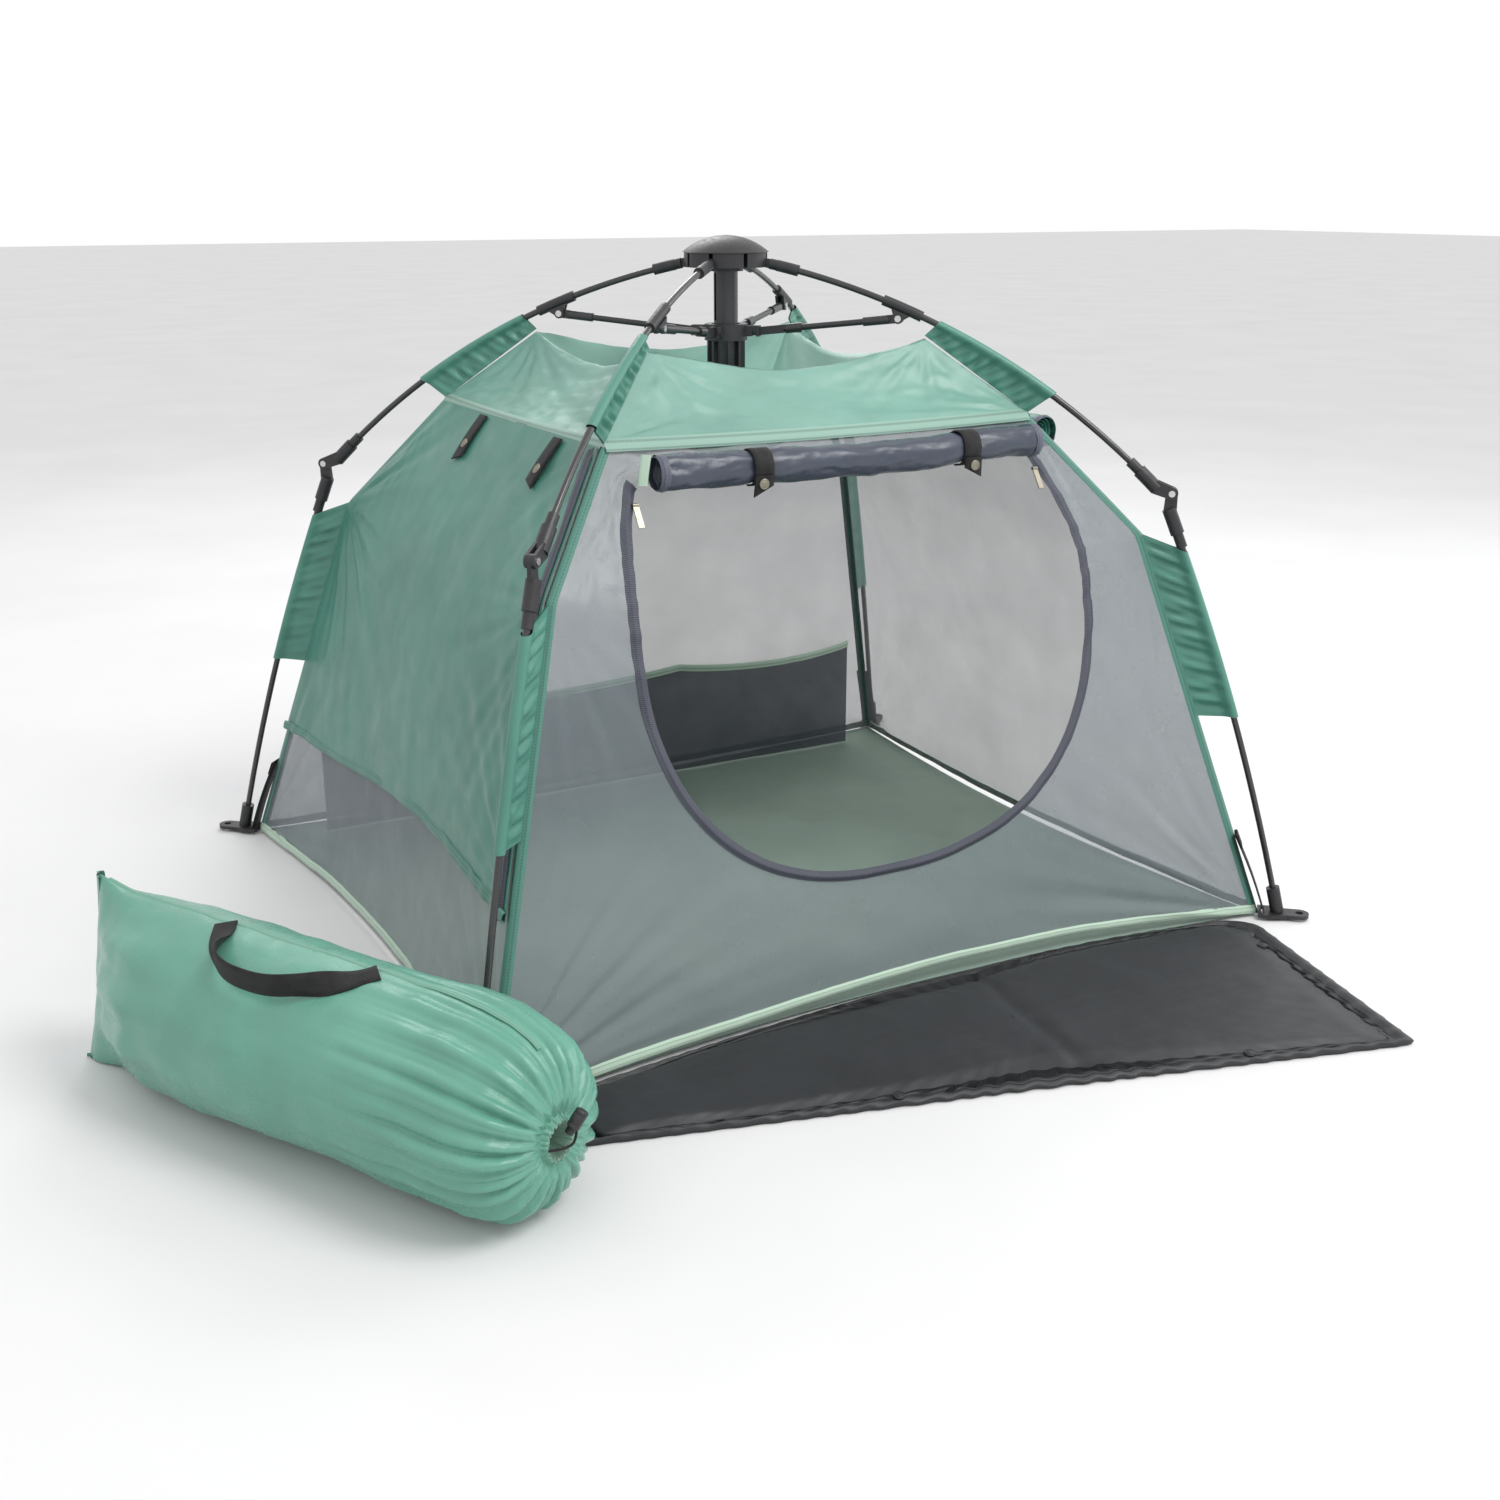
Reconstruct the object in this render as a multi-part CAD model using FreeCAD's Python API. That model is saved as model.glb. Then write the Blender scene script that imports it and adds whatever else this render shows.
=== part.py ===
"""Pop up tent: an umbrella frame over a fabric body, with a padded mat and a stuffed carry bag.

Millimetres. The origin is on the ground under the hub, +Z is up and the door faces -Y.
Each arm is drawn once in its own upright plane, with X running out from the hub, and turned into place.
"""

import FreeCAD
import Part

import math
import os

Vector = FreeCAD.Vector
UP = Vector(0, 0, 1)
ACROSS = Vector(0, 1, 0)

# The tent body is a stack of similar rectangles: a corner at share r of the way to the feet
# stands at (+-FOOT_X r, +-FOOT_Y r).
FOOT_X = 550.0
FOOT_Y = 487.0
REACH = math.hypot(FOOT_X, FOOT_Y)
ARMS = {"front_left": (-1, -1), "front_right": (1, -1), "back_left": (-1, 1), "back_right": (1, 1)}

# Points of one arm, (distance from the hub's axis, height)
CROWN_PIN = (42.0, 818.0)
KNEE_PIN = (562.0, 548.0)
FOOT_POINT = (735.0, 8.0)
RUNNER_PIN = (38.0, 733.0)
KNEE_OFFSET = 10.0  # the knee pin stands this far outside the rods' line
KNEE_NORMAL = math.radians(33.6)
ROD_BEND = 980.0
LEG_BEND = 3600.0
BRACKET_AT = 190.0  # along the upper rod
BRACKET_DROP = 13.5

# Stock sizes
ROD_R = 3.95
STRUT_R = 3.9
STRUT_BLADE = 40.0
SLEEVE_R = 6.5
SOCKET_R = 8.5
PIN_R = 2.0
RUNNING_GAP = 0.06
TONGUE_HALF = 2.5
EAR_NEAR = 2.7
EAR_FAR = 6.2
RIVET_HEAD_R = 4.0
RIVET_HEAD = 1.6
CROWN_PIN_HALF = 9.0

# Hub
DOME_R = 54.0
DOME_Z = 829.0
DOME_TOP = 849.0
SKIRT_R = 52.0
SKIRT_Z = 811.0
CORE_R = 22.0
CORE_Z = 806.0
CROWN_TUBE_R = 15.2
CROWN_TUBE_BORE = 12.0
TUBE_FOOT_Z = 612.0
OUTER_BORE = 15.25
OUTER_CORE_R = 18.2
OUTER_RIB_R = 24.0
RIB_SPREAD = 18.0  # degrees either side of the four square directions
OUTER_FOOT_Z = 592.0
RUNNER_LOW = 722.0
RUNNER_HIGH = 742.0
RUNNER_R = 27.0

# Fabric body: (share of the way to the feet, height)
PEAK = (0.3426, 728.0)
EAVE = (0.5188, 637.5)
SHOULDER = (0.7186, 496.0)
HEM = (0.965, 3.0)
CREST_MID = (0.315, 698.0)
BOWL_Z = 566.0
CLOTH = 3.0
COVER_HEM_Z = 186.0
COVER_OUT = 3.5
COVER_THICK = 2.5
SEAM_INSET = 5.0
COVER_INSET = SEAM_INSET + 2.0

# Door: a rounded oval in the front wall, cut off level under the roll
DOOR_HALF = 300.0
DOOR_MID_Z = 440.0
DOOR_RISE = 290.0
DOOR_POWER = 2.3
DOOR_TOP_Z = 598.0
ZIP_HALF = 6.5
ZIP_THICK = 1.6

ROLL_R = 19.0
ROLL_Z = 612.0
ROLL_STAND = 22.0  # from the wall's outer face to the roll's axis
WEB_HALF = 12.0
WEB_THICK = 1.6
SNAP_R = 6.0
DOOR_TIES = (-122.0, 158.0)
COVER_TIES = (-149.0, 87.0)
COVER_TIE_LOW = 584.0
SNAP_SHARE = 0.2  # of the tie's height, from its foot

# Mat and bag lie on the ground, each turned its own way
MAT = ((505, -503), (426, -824), (-484, -571), (-458, -476), (486, -476))
MAT_THICK = 14.0
BAG_START = (-838.0, -148.0)
BAG_END = (-546.0, -699.0)
BAG_STATIONS = (  # share of the length, half width, half height
    (0.0, 12, 100), (0.08, 55, 97), (0.2, 88, 94), (0.45, 97, 95),
    (0.75, 96, 94), (0.93, 84, 84), (1.0, 48, 50),
)


def on_ring(share, z):
    """A body ring (share, height) as a point (distance, height) in an arm's plane."""
    return (share * REACH, z)


def add(shapes):
    """Several shapes as one solid."""
    whole = shapes[0]
    for s in shapes[1:]:
        whole = whole.fuse(s)
    return whole.removeSplitter()


def group(shapes):
    """Separate solids kept side by side in one node."""
    return Part.makeCompound([solid for s in shapes for solid in s.Solids])


def up_plane(x, z, y=0.0):
    return Vector(x, y, z)


def prism(outline, low, high):
    """An outline of (x, z) points, from y = low to y = high."""
    points = [up_plane(x, z, low) for x, z in outline]
    return Part.Face(Part.makePolygon(points + points[:1])).extrude(Vector(0, high - low, 0))


def slab(outline, low, high):
    """An outline of (x, y) points, from z = low to z = high."""
    points = [Vector(x, y, low) for x, y in outline]
    return Part.Face(Part.makePolygon(points + points[:1])).extrude(Vector(0, 0, high - low))


def disc(centre, radius, low, high):
    """A round plate across an arm's plane."""
    return Part.makeCylinder(radius, high - low, up_plane(*centre, low), ACROSS)


def both_sides(make, near, far):
    """The same plate on each side of an arm's plane."""
    return [make(near, far), make(-far, -near)]


def toward(a, b):
    length = math.dist(a, b)
    return ((b[0] - a[0]) / length, (b[1] - a[1]) / length)


def link(a, b, half_a, half_b):
    """A four-sided outline round the line from a to b."""
    dx, dz = toward(a, b)
    side = lambda p, w: (p[0] - dz * w, p[1] + dx * w)
    return [side(a, half_a), side(b, half_b), side(b, -half_b), side(a, -half_a)]


class Bend:
    """A round bend in an arm's plane, bulging up and out, walked by its length from its start."""

    def __init__(self, start, end, radius):
        chord = math.dist(start, end)
        dx, dz = toward(start, end)
        sink = math.sqrt(radius**2 - (chord / 2) ** 2)
        self.radius = radius
        self.centre = (
            (start[0] + end[0]) / 2 + sink * dz,
            (start[1] + end[1]) / 2 - sink * dx,
        )
        self.first = math.atan2(start[1] - self.centre[1], start[0] - self.centre[0])
        self.length = 2 * radius * math.asin(chord / 2 / radius)

    def point(self, s, out=0.0):
        """The point s along, moved outward by out."""
        angle = self.first - s / self.radius
        r = self.radius + out
        return (self.centre[0] + r * math.cos(angle), self.centre[1] + r * math.sin(angle))

    def heading(self, s):
        angle = self.first - s / self.radius
        return (math.sin(angle), -math.cos(angle))

    def at_distance(self, x):
        """How far along the bend stands x out from the hub's axis."""
        return (self.first - math.acos((x - self.centre[0]) / self.radius)) * self.radius

    def tube(self, s0, s1, radius, bore=0.0):
        dx, dz = self.heading(s0)
        start = up_plane(*self.point(s0))
        ring = Part.Wire(Part.makeCircle(radius, start, Vector(dx, 0, dz)))
        face = Part.Face(ring)
        if bore:
            face = face.cut(Part.Face(Part.Wire(Part.makeCircle(bore, start, Vector(dx, 0, dz)))))
        turn = math.degrees((s1 - s0) / self.radius)
        return face.revolve(up_plane(*self.centre), ACROSS, turn).Solids[0]


KNEE_LINE = (
    KNEE_PIN[0] - KNEE_OFFSET * math.cos(KNEE_NORMAL),
    KNEE_PIN[1] - KNEE_OFFSET * math.sin(KNEE_NORMAL),
)
ROD = Bend(CROWN_PIN, KNEE_LINE, ROD_BEND)
LEG = Bend(KNEE_LINE, FOOT_POINT, LEG_BEND)
BRACKET_PIN = ROD.point(BRACKET_AT, -BRACKET_DROP)


# ---- one arm, in its own plane ----

def upper_pole():
    return ROD.tube(24, ROD.length - 24, ROD_R)


def crown_fitting():
    """The rod's end socket at the crown: a sleeve and an eye."""
    sleeve = ROD.tube(24, 52, SLEEVE_R + 0.4, ROD_R)
    neck = ROD.tube(15, 24, SLEEVE_R)
    eye = disc(CROWN_PIN, 6.0, -TONGUE_HALF, TONGUE_HALF)
    tongue = prism(link(CROWN_PIN, ROD.point(17), 5.5, 5.5), -TONGUE_HALF, TONGUE_HALF)
    return add([sleeve, neck, eye, tongue]).cut(disc(CROWN_PIN, PIN_R, -9, 9))


def strut_bracket():
    """A sleeve on the upper rod with two ears that carry the strut's outer pin."""
    sleeve = ROD.tube(BRACKET_AT - 26, BRACKET_AT + 26, SLEEVE_R, ROD_R)
    root = ROD.point(BRACKET_AT, -ROD_R - 1.0)
    ear = lambda low, high: prism(link(root, BRACKET_PIN, 13, 6), low, high).fuse(
        disc(BRACKET_PIN, 6.2, low, high)
    )
    hole = disc(BRACKET_PIN, PIN_R, -9, 9)
    return add([sleeve, *both_sides(ear, EAR_NEAR, EAR_FAR)]).cut(hole)


def knee_upper():
    """The upper half of the knee: a stepped socket and two ears."""
    end = ROD.length
    shell = ROD.tube(end - 62, end - 24, SLEEVE_R, ROD_R)
    collar = ROD.tube(end - 46, end - 24, SOCKET_R, ROD_R)
    plug = ROD.tube(end - 24, end - 15, SOCKET_R)
    ear = lambda low, high: prism(
        link(ROD.point(end - 19), KNEE_PIN, 8.4, 7.4), low, high
    ).fuse(disc(KNEE_PIN, 7.5, low, high))
    hole = disc(KNEE_PIN, PIN_R, -9, 9)
    return add([shell, collar, plug, *both_sides(ear, EAR_NEAR, EAR_FAR)]).cut(hole)


def rivet(centre, far):
    shank = disc(centre, PIN_R, -far, far)
    head = lambda low, high: disc(centre, RIVET_HEAD_R, low, high)
    return add([shank, *both_sides(head, far, far + RIVET_HEAD)])


def rivets():
    """The three pins that turn with the arm: a plain one in the crown, rivets at the strut and the knee."""
    crown_pin = disc(CROWN_PIN, PIN_R, -CROWN_PIN_HALF, CROWN_PIN_HALF)
    return group([crown_pin, rivet(BRACKET_PIN, EAR_FAR), rivet(KNEE_PIN, EAR_FAR)])


def lower_pole():
    return LEG.tube(24, LEG.length - 10, ROD_R)


def knee_lower():
    """The lower half of the knee: a tongue between the ears, and a stepped socket."""
    shell = LEG.tube(24, 66, SLEEVE_R, ROD_R)
    collar = LEG.tube(24, 48, SOCKET_R, ROD_R)
    plug = LEG.tube(15, 24, SOCKET_R)
    tongue = prism(link(LEG.point(19), KNEE_PIN, 8.0, 7.2), -TONGUE_HALF, TONGUE_HALF)
    eye = disc(KNEE_PIN, 7.4, -TONGUE_HALF, TONGUE_HALF)
    return add([shell, collar, plug, tongue, eye]).cut(disc(KNEE_PIN, PIN_R + RUNNING_GAP, -9, 9))


PEG_HOLE_AT = 763.0
PEG_HOLE_R = 5.0
PLATE_LOW = 3.0
PLATE_HIGH = 8.0


def foot():
    """A plate that points outward, with a peg hole, a slot for the corner strap and the leg's socket."""
    outline = [(711, -17), (728, -17), (746, -12), (PEG_HOLE_AT, -12)]
    outline += [(x, -y) for x, y in reversed(outline)]
    plate = slab(outline, PLATE_LOW, PLATE_HIGH)
    nose = Part.makeCylinder(12, PLATE_HIGH - PLATE_LOW, Vector(PEG_HOLE_AT, 0, PLATE_LOW))
    nub = Part.makeCylinder(8, PLATE_LOW + 1, Vector(735, 0, 0))
    socket = LEG.tube(LEG.length - 34, LEG.length - 10, SOCKET_R, ROD_R)
    base = LEG.tube(LEG.length - 10, LEG.length, SOCKET_R)
    peg_hole = Part.makeCylinder(PEG_HOLE_R, 20, Vector(PEG_HOLE_AT, 0, -2))
    strap_slot = Part.makeBox(4.0, 27.0, 20.0, Vector(715.0, -13.5, -2))
    return add([plate, nose, nub, socket, base]).cut(peg_hole).cut(strap_slot)


def strut():
    """A thin rod with a moulded fitting at each end. The inner one is a blade with a trunnion."""
    dx, dz = toward(RUNNER_PIN, BRACKET_PIN)
    along = lambda d: (RUNNER_PIN[0] + dx * d, RUNNER_PIN[1] + dz * d)
    length = math.dist(RUNNER_PIN, BRACKET_PIN)
    bar = lambda d0, d1, r: Part.makeCylinder(r, d1 - d0, up_plane(*along(d0)), Vector(dx, 0, dz))
    blade = prism(link(RUNNER_PIN, along(STRUT_BLADE), 5, 5), -TONGUE_HALF, TONGUE_HALF)
    outer = prism(link(along(length - 14), BRACKET_PIN, 5.4, 5.4), -TONGUE_HALF, TONGUE_HALF)
    pieces = [
        bar(STRUT_BLADE - 3, length - 10, STRUT_R),
        bar(STRUT_BLADE, STRUT_BLADE + 20, 6.0),
        bar(length - 44, length - 12, 5.6),
        blade,
        outer,
        disc(RUNNER_PIN, 5.0, -TONGUE_HALF, TONGUE_HALF),
        disc(RUNNER_PIN, PIN_R, -EAR_FAR, EAR_FAR),
        disc(BRACKET_PIN, 5.6, -TONGUE_HALF, TONGUE_HALF),
    ]
    return add(pieces).cut(disc(BRACKET_PIN, PIN_R + RUNNING_GAP, -9, 9))


ARM_PIECES = {
    "upper_pole": upper_pole,
    "crown_fitting": crown_fitting,
    "strut_bracket": strut_bracket,
    "knee_upper": knee_upper,
    "rivets": rivets,
    "lower_pole": lower_pole,
    "knee_lower": knee_lower,
    "foot": foot,
    "strut": strut,
}


def turned(shape, side):
    """A shape from the arm's plane, turned about the hub's axis to that arm."""
    placed = shape.copy()
    placed.rotate(Vector(0, 0, 0), UP, math.degrees(math.atan2(side[1] * FOOT_Y, side[0] * FOOT_X)))
    return placed


def at_every_arm(shape):
    return [turned(shape, side) for side in ARMS.values()]


# ---- hub ----

def crown_hub():
    """The domed crown: a skirt slotted for eight arms, of which four are fitted, and its core."""
    rise = DOME_TOP - DOME_Z
    ball_r = (DOME_R**2 + rise**2) / (2 * rise)
    ball = Part.makeSphere(ball_r, Vector(0, 0, DOME_TOP - ball_r))
    dome = Part.makeCylinder(DOME_R, rise, Vector(0, 0, DOME_Z)).common(ball)
    skirt = Part.makeCylinder(SKIRT_R, DOME_Z - SKIRT_Z, Vector(0, 0, SKIRT_Z))
    core = Part.makeCylinder(CORE_R, DOME_Z - CORE_Z, Vector(0, 0, CORE_Z))
    bore = Part.makeCylinder(CROWN_TUBE_R, DOME_Z - 1 - CORE_Z, Vector(0, 0, CORE_Z))
    slot = Part.makeBox(
        SKIRT_R, 2 * EAR_NEAR, DOME_Z - SKIRT_Z - 1, Vector(CORE_R + 4, -EAR_NEAR, SKIRT_Z)
    )
    spare_slots = []
    for quarter in range(4):
        spare = slot.copy()
        spare.rotate(Vector(0, 0, 0), UP, 90.0 * quarter)
        spare_slots.append(spare)
    pin_hole = disc(CROWN_PIN, PIN_R + RUNNING_GAP, -CROWN_PIN_HALF - 0.3, CROWN_PIN_HALF + 0.3)
    crown = add([dome, skirt, core]).cut(bore)
    for hole in (*at_every_arm(slot), *spare_slots, *at_every_arm(pin_hole)):
        crown = crown.cut(hole)
    return crown


def ring_tube(radius, bore, low, high):
    tube = Part.makeCylinder(radius, high - low, Vector(0, 0, low))
    return tube.cut(Part.makeCylinder(bore, high - low, Vector(0, 0, low)))


def crown_tube():
    """The fixed tube under the crown, with a long slot down its left."""
    slot = Part.makeBox(10.0, 5.0, 58.0, Vector(-CROWN_TUBE_R - 2, -2.5, 746.0))
    return ring_tube(CROWN_TUBE_R, CROWN_TUBE_BORE, TUBE_FOOT_Z, DOME_Z - 1).cut(slot)


def slide_rod():
    """The middle stage of the telescope: it slides in the crown tube, and its foot in the outer tube."""
    tube = ring_tube(CROWN_TUBE_BORE - RUNNING_GAP, 8.0, TUBE_FOOT_Z - 8, CORE_Z)
    flange = ring_tube(CROWN_TUBE_R, 8.0, TUBE_FOOT_Z - 14, TUBE_FOOT_Z - 2)
    return add([tube, flange])


def outer_tube():
    """The ribbed outer stage, closed at its foot, that the runner sits on."""
    body = ring_tube(OUTER_CORE_R, OUTER_BORE, OUTER_FOOT_Z, RUNNER_HIGH - 1)
    floor = Part.makeCylinder(OUTER_CORE_R, 4.0, Vector(0, 0, OUTER_FOOT_Z))
    ribs = []
    for i in range(8):
        rib = Part.makeBox(7.0, 4.0, RUNNER_LOW - OUTER_FOOT_Z, Vector(OUTER_RIB_R - 7, -2.0, OUTER_FOOT_Z))
        rib.rotate(Vector(0, 0, 0), UP, 90.0 * (i // 2) + RIB_SPREAD * (1 if i % 2 else -1))
        ribs.append(rib)
    return add([body, floor, *ribs])


def runner():
    """The collar that carries the struts. Its ears are slotted from below for the struts' trunnions."""
    collar = ring_tube(RUNNER_R, OUTER_CORE_R, RUNNER_LOW, RUNNER_HIGH)
    x, z = RUNNER_PIN
    ear = lambda low, high: prism([(20, z - 6), (x + 6, z - 6), (x + 6, z + 7), (20, z + 7)], low, high)
    ears = [turned(e, side) for side in ARMS.values() for e in both_sides(ear, EAR_NEAR, EAR_FAR)]
    mouth = prism([(x - 4.9, z - 7), (x + 2.6, z - 7), (x + 2.3, z), (x - 2.3, z)], -9, 9)
    top = disc(RUNNER_PIN, 2.3, -9, 9)
    whole = add([collar, *ears])
    for cut in at_every_arm(mouth.fuse(top)):
        whole = whole.cut(cut)
    return whole


# ---- fabric body ----

SIDES = {"front": 0, "right": 90, "back": 180, "left": -90}


def half_and_depth(side):
    """A wall's half width and distance out, at the feet."""
    return (FOOT_X, FOOT_Y) if side in ("front", "back") else (FOOT_Y, FOOT_X)


def share_at(z):
    """The body ring's share at a height below the eave."""
    (r0, z0), (r1, z1) = (EAVE, SHOULDER) if z > SHOULDER[1] else (SHOULDER, HEM)
    return r0 + (r1 - r0) * (z0 - z) / (z0 - z1)


def wall_panel(side, low, high=EAVE[1], inset=SEAM_INSET, out=0.0, thick=CLOTH):
    """Flat slabs down one side's slope, from one height to another. out moves them off the wall."""
    half, depth = half_and_depth(side)
    heights = [high, *([SHOULDER[1]] if low < SHOULDER[1] < high else []), low]
    slabs = []
    for top, bottom in zip(heights, heights[1:]):
        (r0, r1) = (share_at(top), share_at(bottom))
        corners = [(-1, r0, top), (1, r0, top), (1, r1, bottom), (-1, r1, bottom)]
        points = [Vector(s * (half * r - inset), -depth * r - out, z) for s, r, z in corners]
        face = Part.Face(Part.makePolygon(points + points[:1]))
        slabs.append(face.extrude(Vector(0, thick, 0)))
    return face_side(add(slabs), side)


def face_side(shape, side):
    """A shape drawn on the front side, turned to the side it belongs to."""
    placed = shape.copy()
    placed.rotate(Vector(0, 0, 0), UP, SIDES[side])
    return placed


def door_outline(grow=0.0):
    """The door's oval, grown outward by that much, as a prism through the front wall."""
    points = []
    for i in range(40):
        a = 2 * math.pi * i / 40
        c, s = math.cos(a), math.sin(a)
        x = math.copysign(abs(c) ** (2 / DOOR_POWER), c) * (DOOR_HALF + grow)
        z = DOOR_MID_Z + math.copysign(abs(s) ** (2 / DOOR_POWER), s) * (DOOR_RISE + grow)
        points.append(up_plane(x, z, -FOOT_Y))
    curve = Part.BSplineCurve()
    curve.interpolate(points, PeriodicFlag=True)
    face = Part.Face(Part.Wire(curve.toShape()))
    oval = face.extrude(Vector(0, FOOT_Y, 0))
    limit = Part.makeBox(2 * FOOT_X, FOOT_Y + 20, DOOR_TOP_Z, Vector(-FOOT_X, -FOOT_Y - 10, 0))
    return oval.common(limit)


def front_mesh_wall():
    return wall_panel("front", HEM[1]).cut(door_outline())


def plain_wall(side):
    return lambda: wall_panel(side, HEM[1])


def left_sun_cover():
    return wall_panel("left", COVER_HEM_Z, inset=COVER_INSET, out=COVER_OUT, thick=COVER_THICK)


def roof_panel():
    """Four gores: each falls from its two peaks to the eave, and from its sagging crest into the bowl."""
    gores = []
    for side in SIDES:
        half, depth = half_and_depth(side)
        corner = lambda ring, s: Vector(s * half * ring[0], -depth * ring[0], ring[1])
        crest = Vector(0, -depth * CREST_MID[0], CREST_MID[1])
        bowl = Vector(0, 0, BOWL_Z)
        left_peak, right_peak = corner(PEAK, -1), corner(PEAK, 1)
        left_eave, right_eave = corner(EAVE, -1), corner(EAVE, 1)
        flaps = []
        for three in (
            (left_peak, left_eave, crest), (left_eave, right_eave, crest),
            (right_eave, right_peak, crest), (left_peak, crest, bowl), (crest, right_peak, bowl),
        ):
            face = Part.Face(Part.makePolygon([*three, three[0]]))
            flaps.append(face.extrude(Vector(0, 0, CLOTH)))
        gores.append(face_side(add(flaps), side))
    return group(gores)


def floor_sheet():
    x, y = FOOT_X * HEM[0], FOOT_Y * HEM[0]
    return Part.makeBox(2 * x, 2 * y, HEM[1], Vector(-x, -y, 0))


SLEEVE_STEPS = 6
SLEEVE_FACETS = 16
CHANNEL_R = 6.2
CHANNEL_BORE = ROD_R + 1.0


def channel(bend, s0, s1, radius):
    """A faceted round bar along a rod's bend."""
    rings = []
    for i in range(SLEEVE_STEPS + 1):
        ring = []
        for k in range(SLEEVE_FACETS):
            a = 2 * math.pi * (k + 0.5) / SLEEVE_FACETS
            x, z = bend.point(s0 + (s1 - s0) * i / SLEEVE_STEPS, radius * math.cos(a))
            ring.append(Vector(x, radius * math.sin(a), z))
        rings.append(Part.makePolygon(ring + ring[:1]))
    return Part.makeLoft(rings, True, True)


def sleeve(bend, s0, s1, inner_top, inner_bottom):
    """A fin of cloth between a rod and a seam, ending in a channel round the rod."""
    edge = [bend.point(s0 + (s1 - s0) * i / SLEEVE_STEPS, -5.4) for i in range(SLEEVE_STEPS + 1)]
    fin = prism([*edge, inner_bottom, inner_top], -1.2, 1.2)
    wall = channel(bend, s0, s1, CHANNEL_R).cut(channel(bend, s0 - 2, s1 + 2, CHANNEL_BORE))
    return add([wall, fin])


UPPER_SLEEVE_SPAN = (266.6, 411.0)
LOWER_SLEEVE_SPAN = (580.6, 658.4)
LOWER_SLEEVE_FOOT_Z = 266.6


def pole_sleeves():
    upper = sleeve(
        ROD,
        *(ROD.at_distance(x) for x in UPPER_SLEEVE_SPAN),
        (on_ring(*PEAK)[0], PEAK[1] + CLOTH + 0.5),
        (on_ring(*EAVE)[0], EAVE[1] + CLOTH + 0.5),
    )
    seam_foot = on_ring(share_at(LOWER_SLEEVE_FOOT_Z), LOWER_SLEEVE_FOOT_Z)
    lower = sleeve(
        LEG,
        *(LEG.at_distance(x) for x in LOWER_SLEEVE_SPAN),
        on_ring(*SHOULDER),
        seam_foot,
    )
    return group(at_every_arm(upper) + at_every_arm(lower))


def roll_axis(side):
    """Where a rolled panel's axis stands on that side: (distance out, height)."""
    depth = half_and_depth(side)[1]
    rise = EAVE[1] - SHOULDER[1]
    run = depth * (SHOULDER[0] - EAVE[0])
    slope = math.hypot(rise, run)
    return (depth * share_at(ROLL_Z) + ROLL_STAND * slope / rise, ROLL_Z)


def roll(side, low, high):
    out, z = roll_axis(side)
    return face_side(Part.makeCylinder(ROLL_R, high - low, Vector(low, -out, z), Vector(1, 0, 0)), side)


def rolled_panels():
    """The door and the back and right covers, rolled up under the eave."""
    return group([roll("front", -246, 262), roll("back", -240, 262), roll("right", -226, 220)])


def door_tie(x):
    """A strap round the door roll with a tail that hangs under it, and its snap."""
    out, z = roll_axis("front")
    ring_r = ROLL_R + 0.2
    place = Vector(x - WEB_HALF, -out, z)
    loop = Part.makeCylinder(ring_r + WEB_THICK, 2 * WEB_HALF, place, Vector(1, 0, 0)).cut(
        Part.makeCylinder(ring_r, 2 * WEB_HALF, place, Vector(1, 0, 0))
    )
    tail = Part.makeBox(
        2 * WEB_HALF, WEB_THICK, 40.0, Vector(x - WEB_HALF, -out - ring_r - WEB_THICK, z - 40)
    )
    snap = Part.makeCylinder(SNAP_R, 2.0, Vector(x, -out - ring_r - WEB_THICK, z - 31), Vector(0, -1, 0))
    return [add([loop, tail]), snap]


def cover_tie(y):
    """A strap that hangs on the left cover under the eave, and its snap."""
    low, high = COVER_TIE_LOW, EAVE[1] - 1
    rise = high - low
    run = FOOT_X * (share_at(low) - share_at(high))
    foot_out = FOOT_X * share_at(low) + COVER_OUT + 0.4
    outline = [
        (-foot_out + run, high), (-foot_out, low), (-foot_out - 2, low), (-foot_out + run - 2, high)
    ]
    strap = prism(outline, y - WEB_HALF, y + WEB_HALF)
    normal = Vector(-rise, 0, run).normalize()
    seat = Vector(-foot_out - 2 + run * SNAP_SHARE, y, low + rise * SNAP_SHARE)
    return [strap, Part.makeCylinder(SNAP_R, 2.0, seat, normal)]


def corner_strap():
    """The webbing from a foot up to the corner seam."""
    low = (717.0, PLATE_HIGH + 1.0)
    high = on_ring(share_at(112.0) + 0.004, 112.0)
    return prism(link(low, high, WEB_THICK / 2, WEB_THICK / 2), -WEB_HALF, WEB_HALF)


def webbing_straps():
    ties = [piece for x in DOOR_TIES for piece in door_tie(x)]
    ties += [piece for y in COVER_TIES for piece in cover_tie(y)]
    return group(ties + at_every_arm(corner_strap()))


POCKET_HALF = 448.0
POCKET_Y = 411.0
POCKET_TOP = 182.0
POCKET_THICK = 2.5


def storage_pocket():
    """A hanging mesh pocket that stands upright in front of the back wall's foot."""
    return Part.makeBox(
        2 * POCKET_HALF, POCKET_THICK, POCKET_TOP - HEM[1], Vector(-POCKET_HALF, POCKET_Y, HEM[1])
    )


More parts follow.
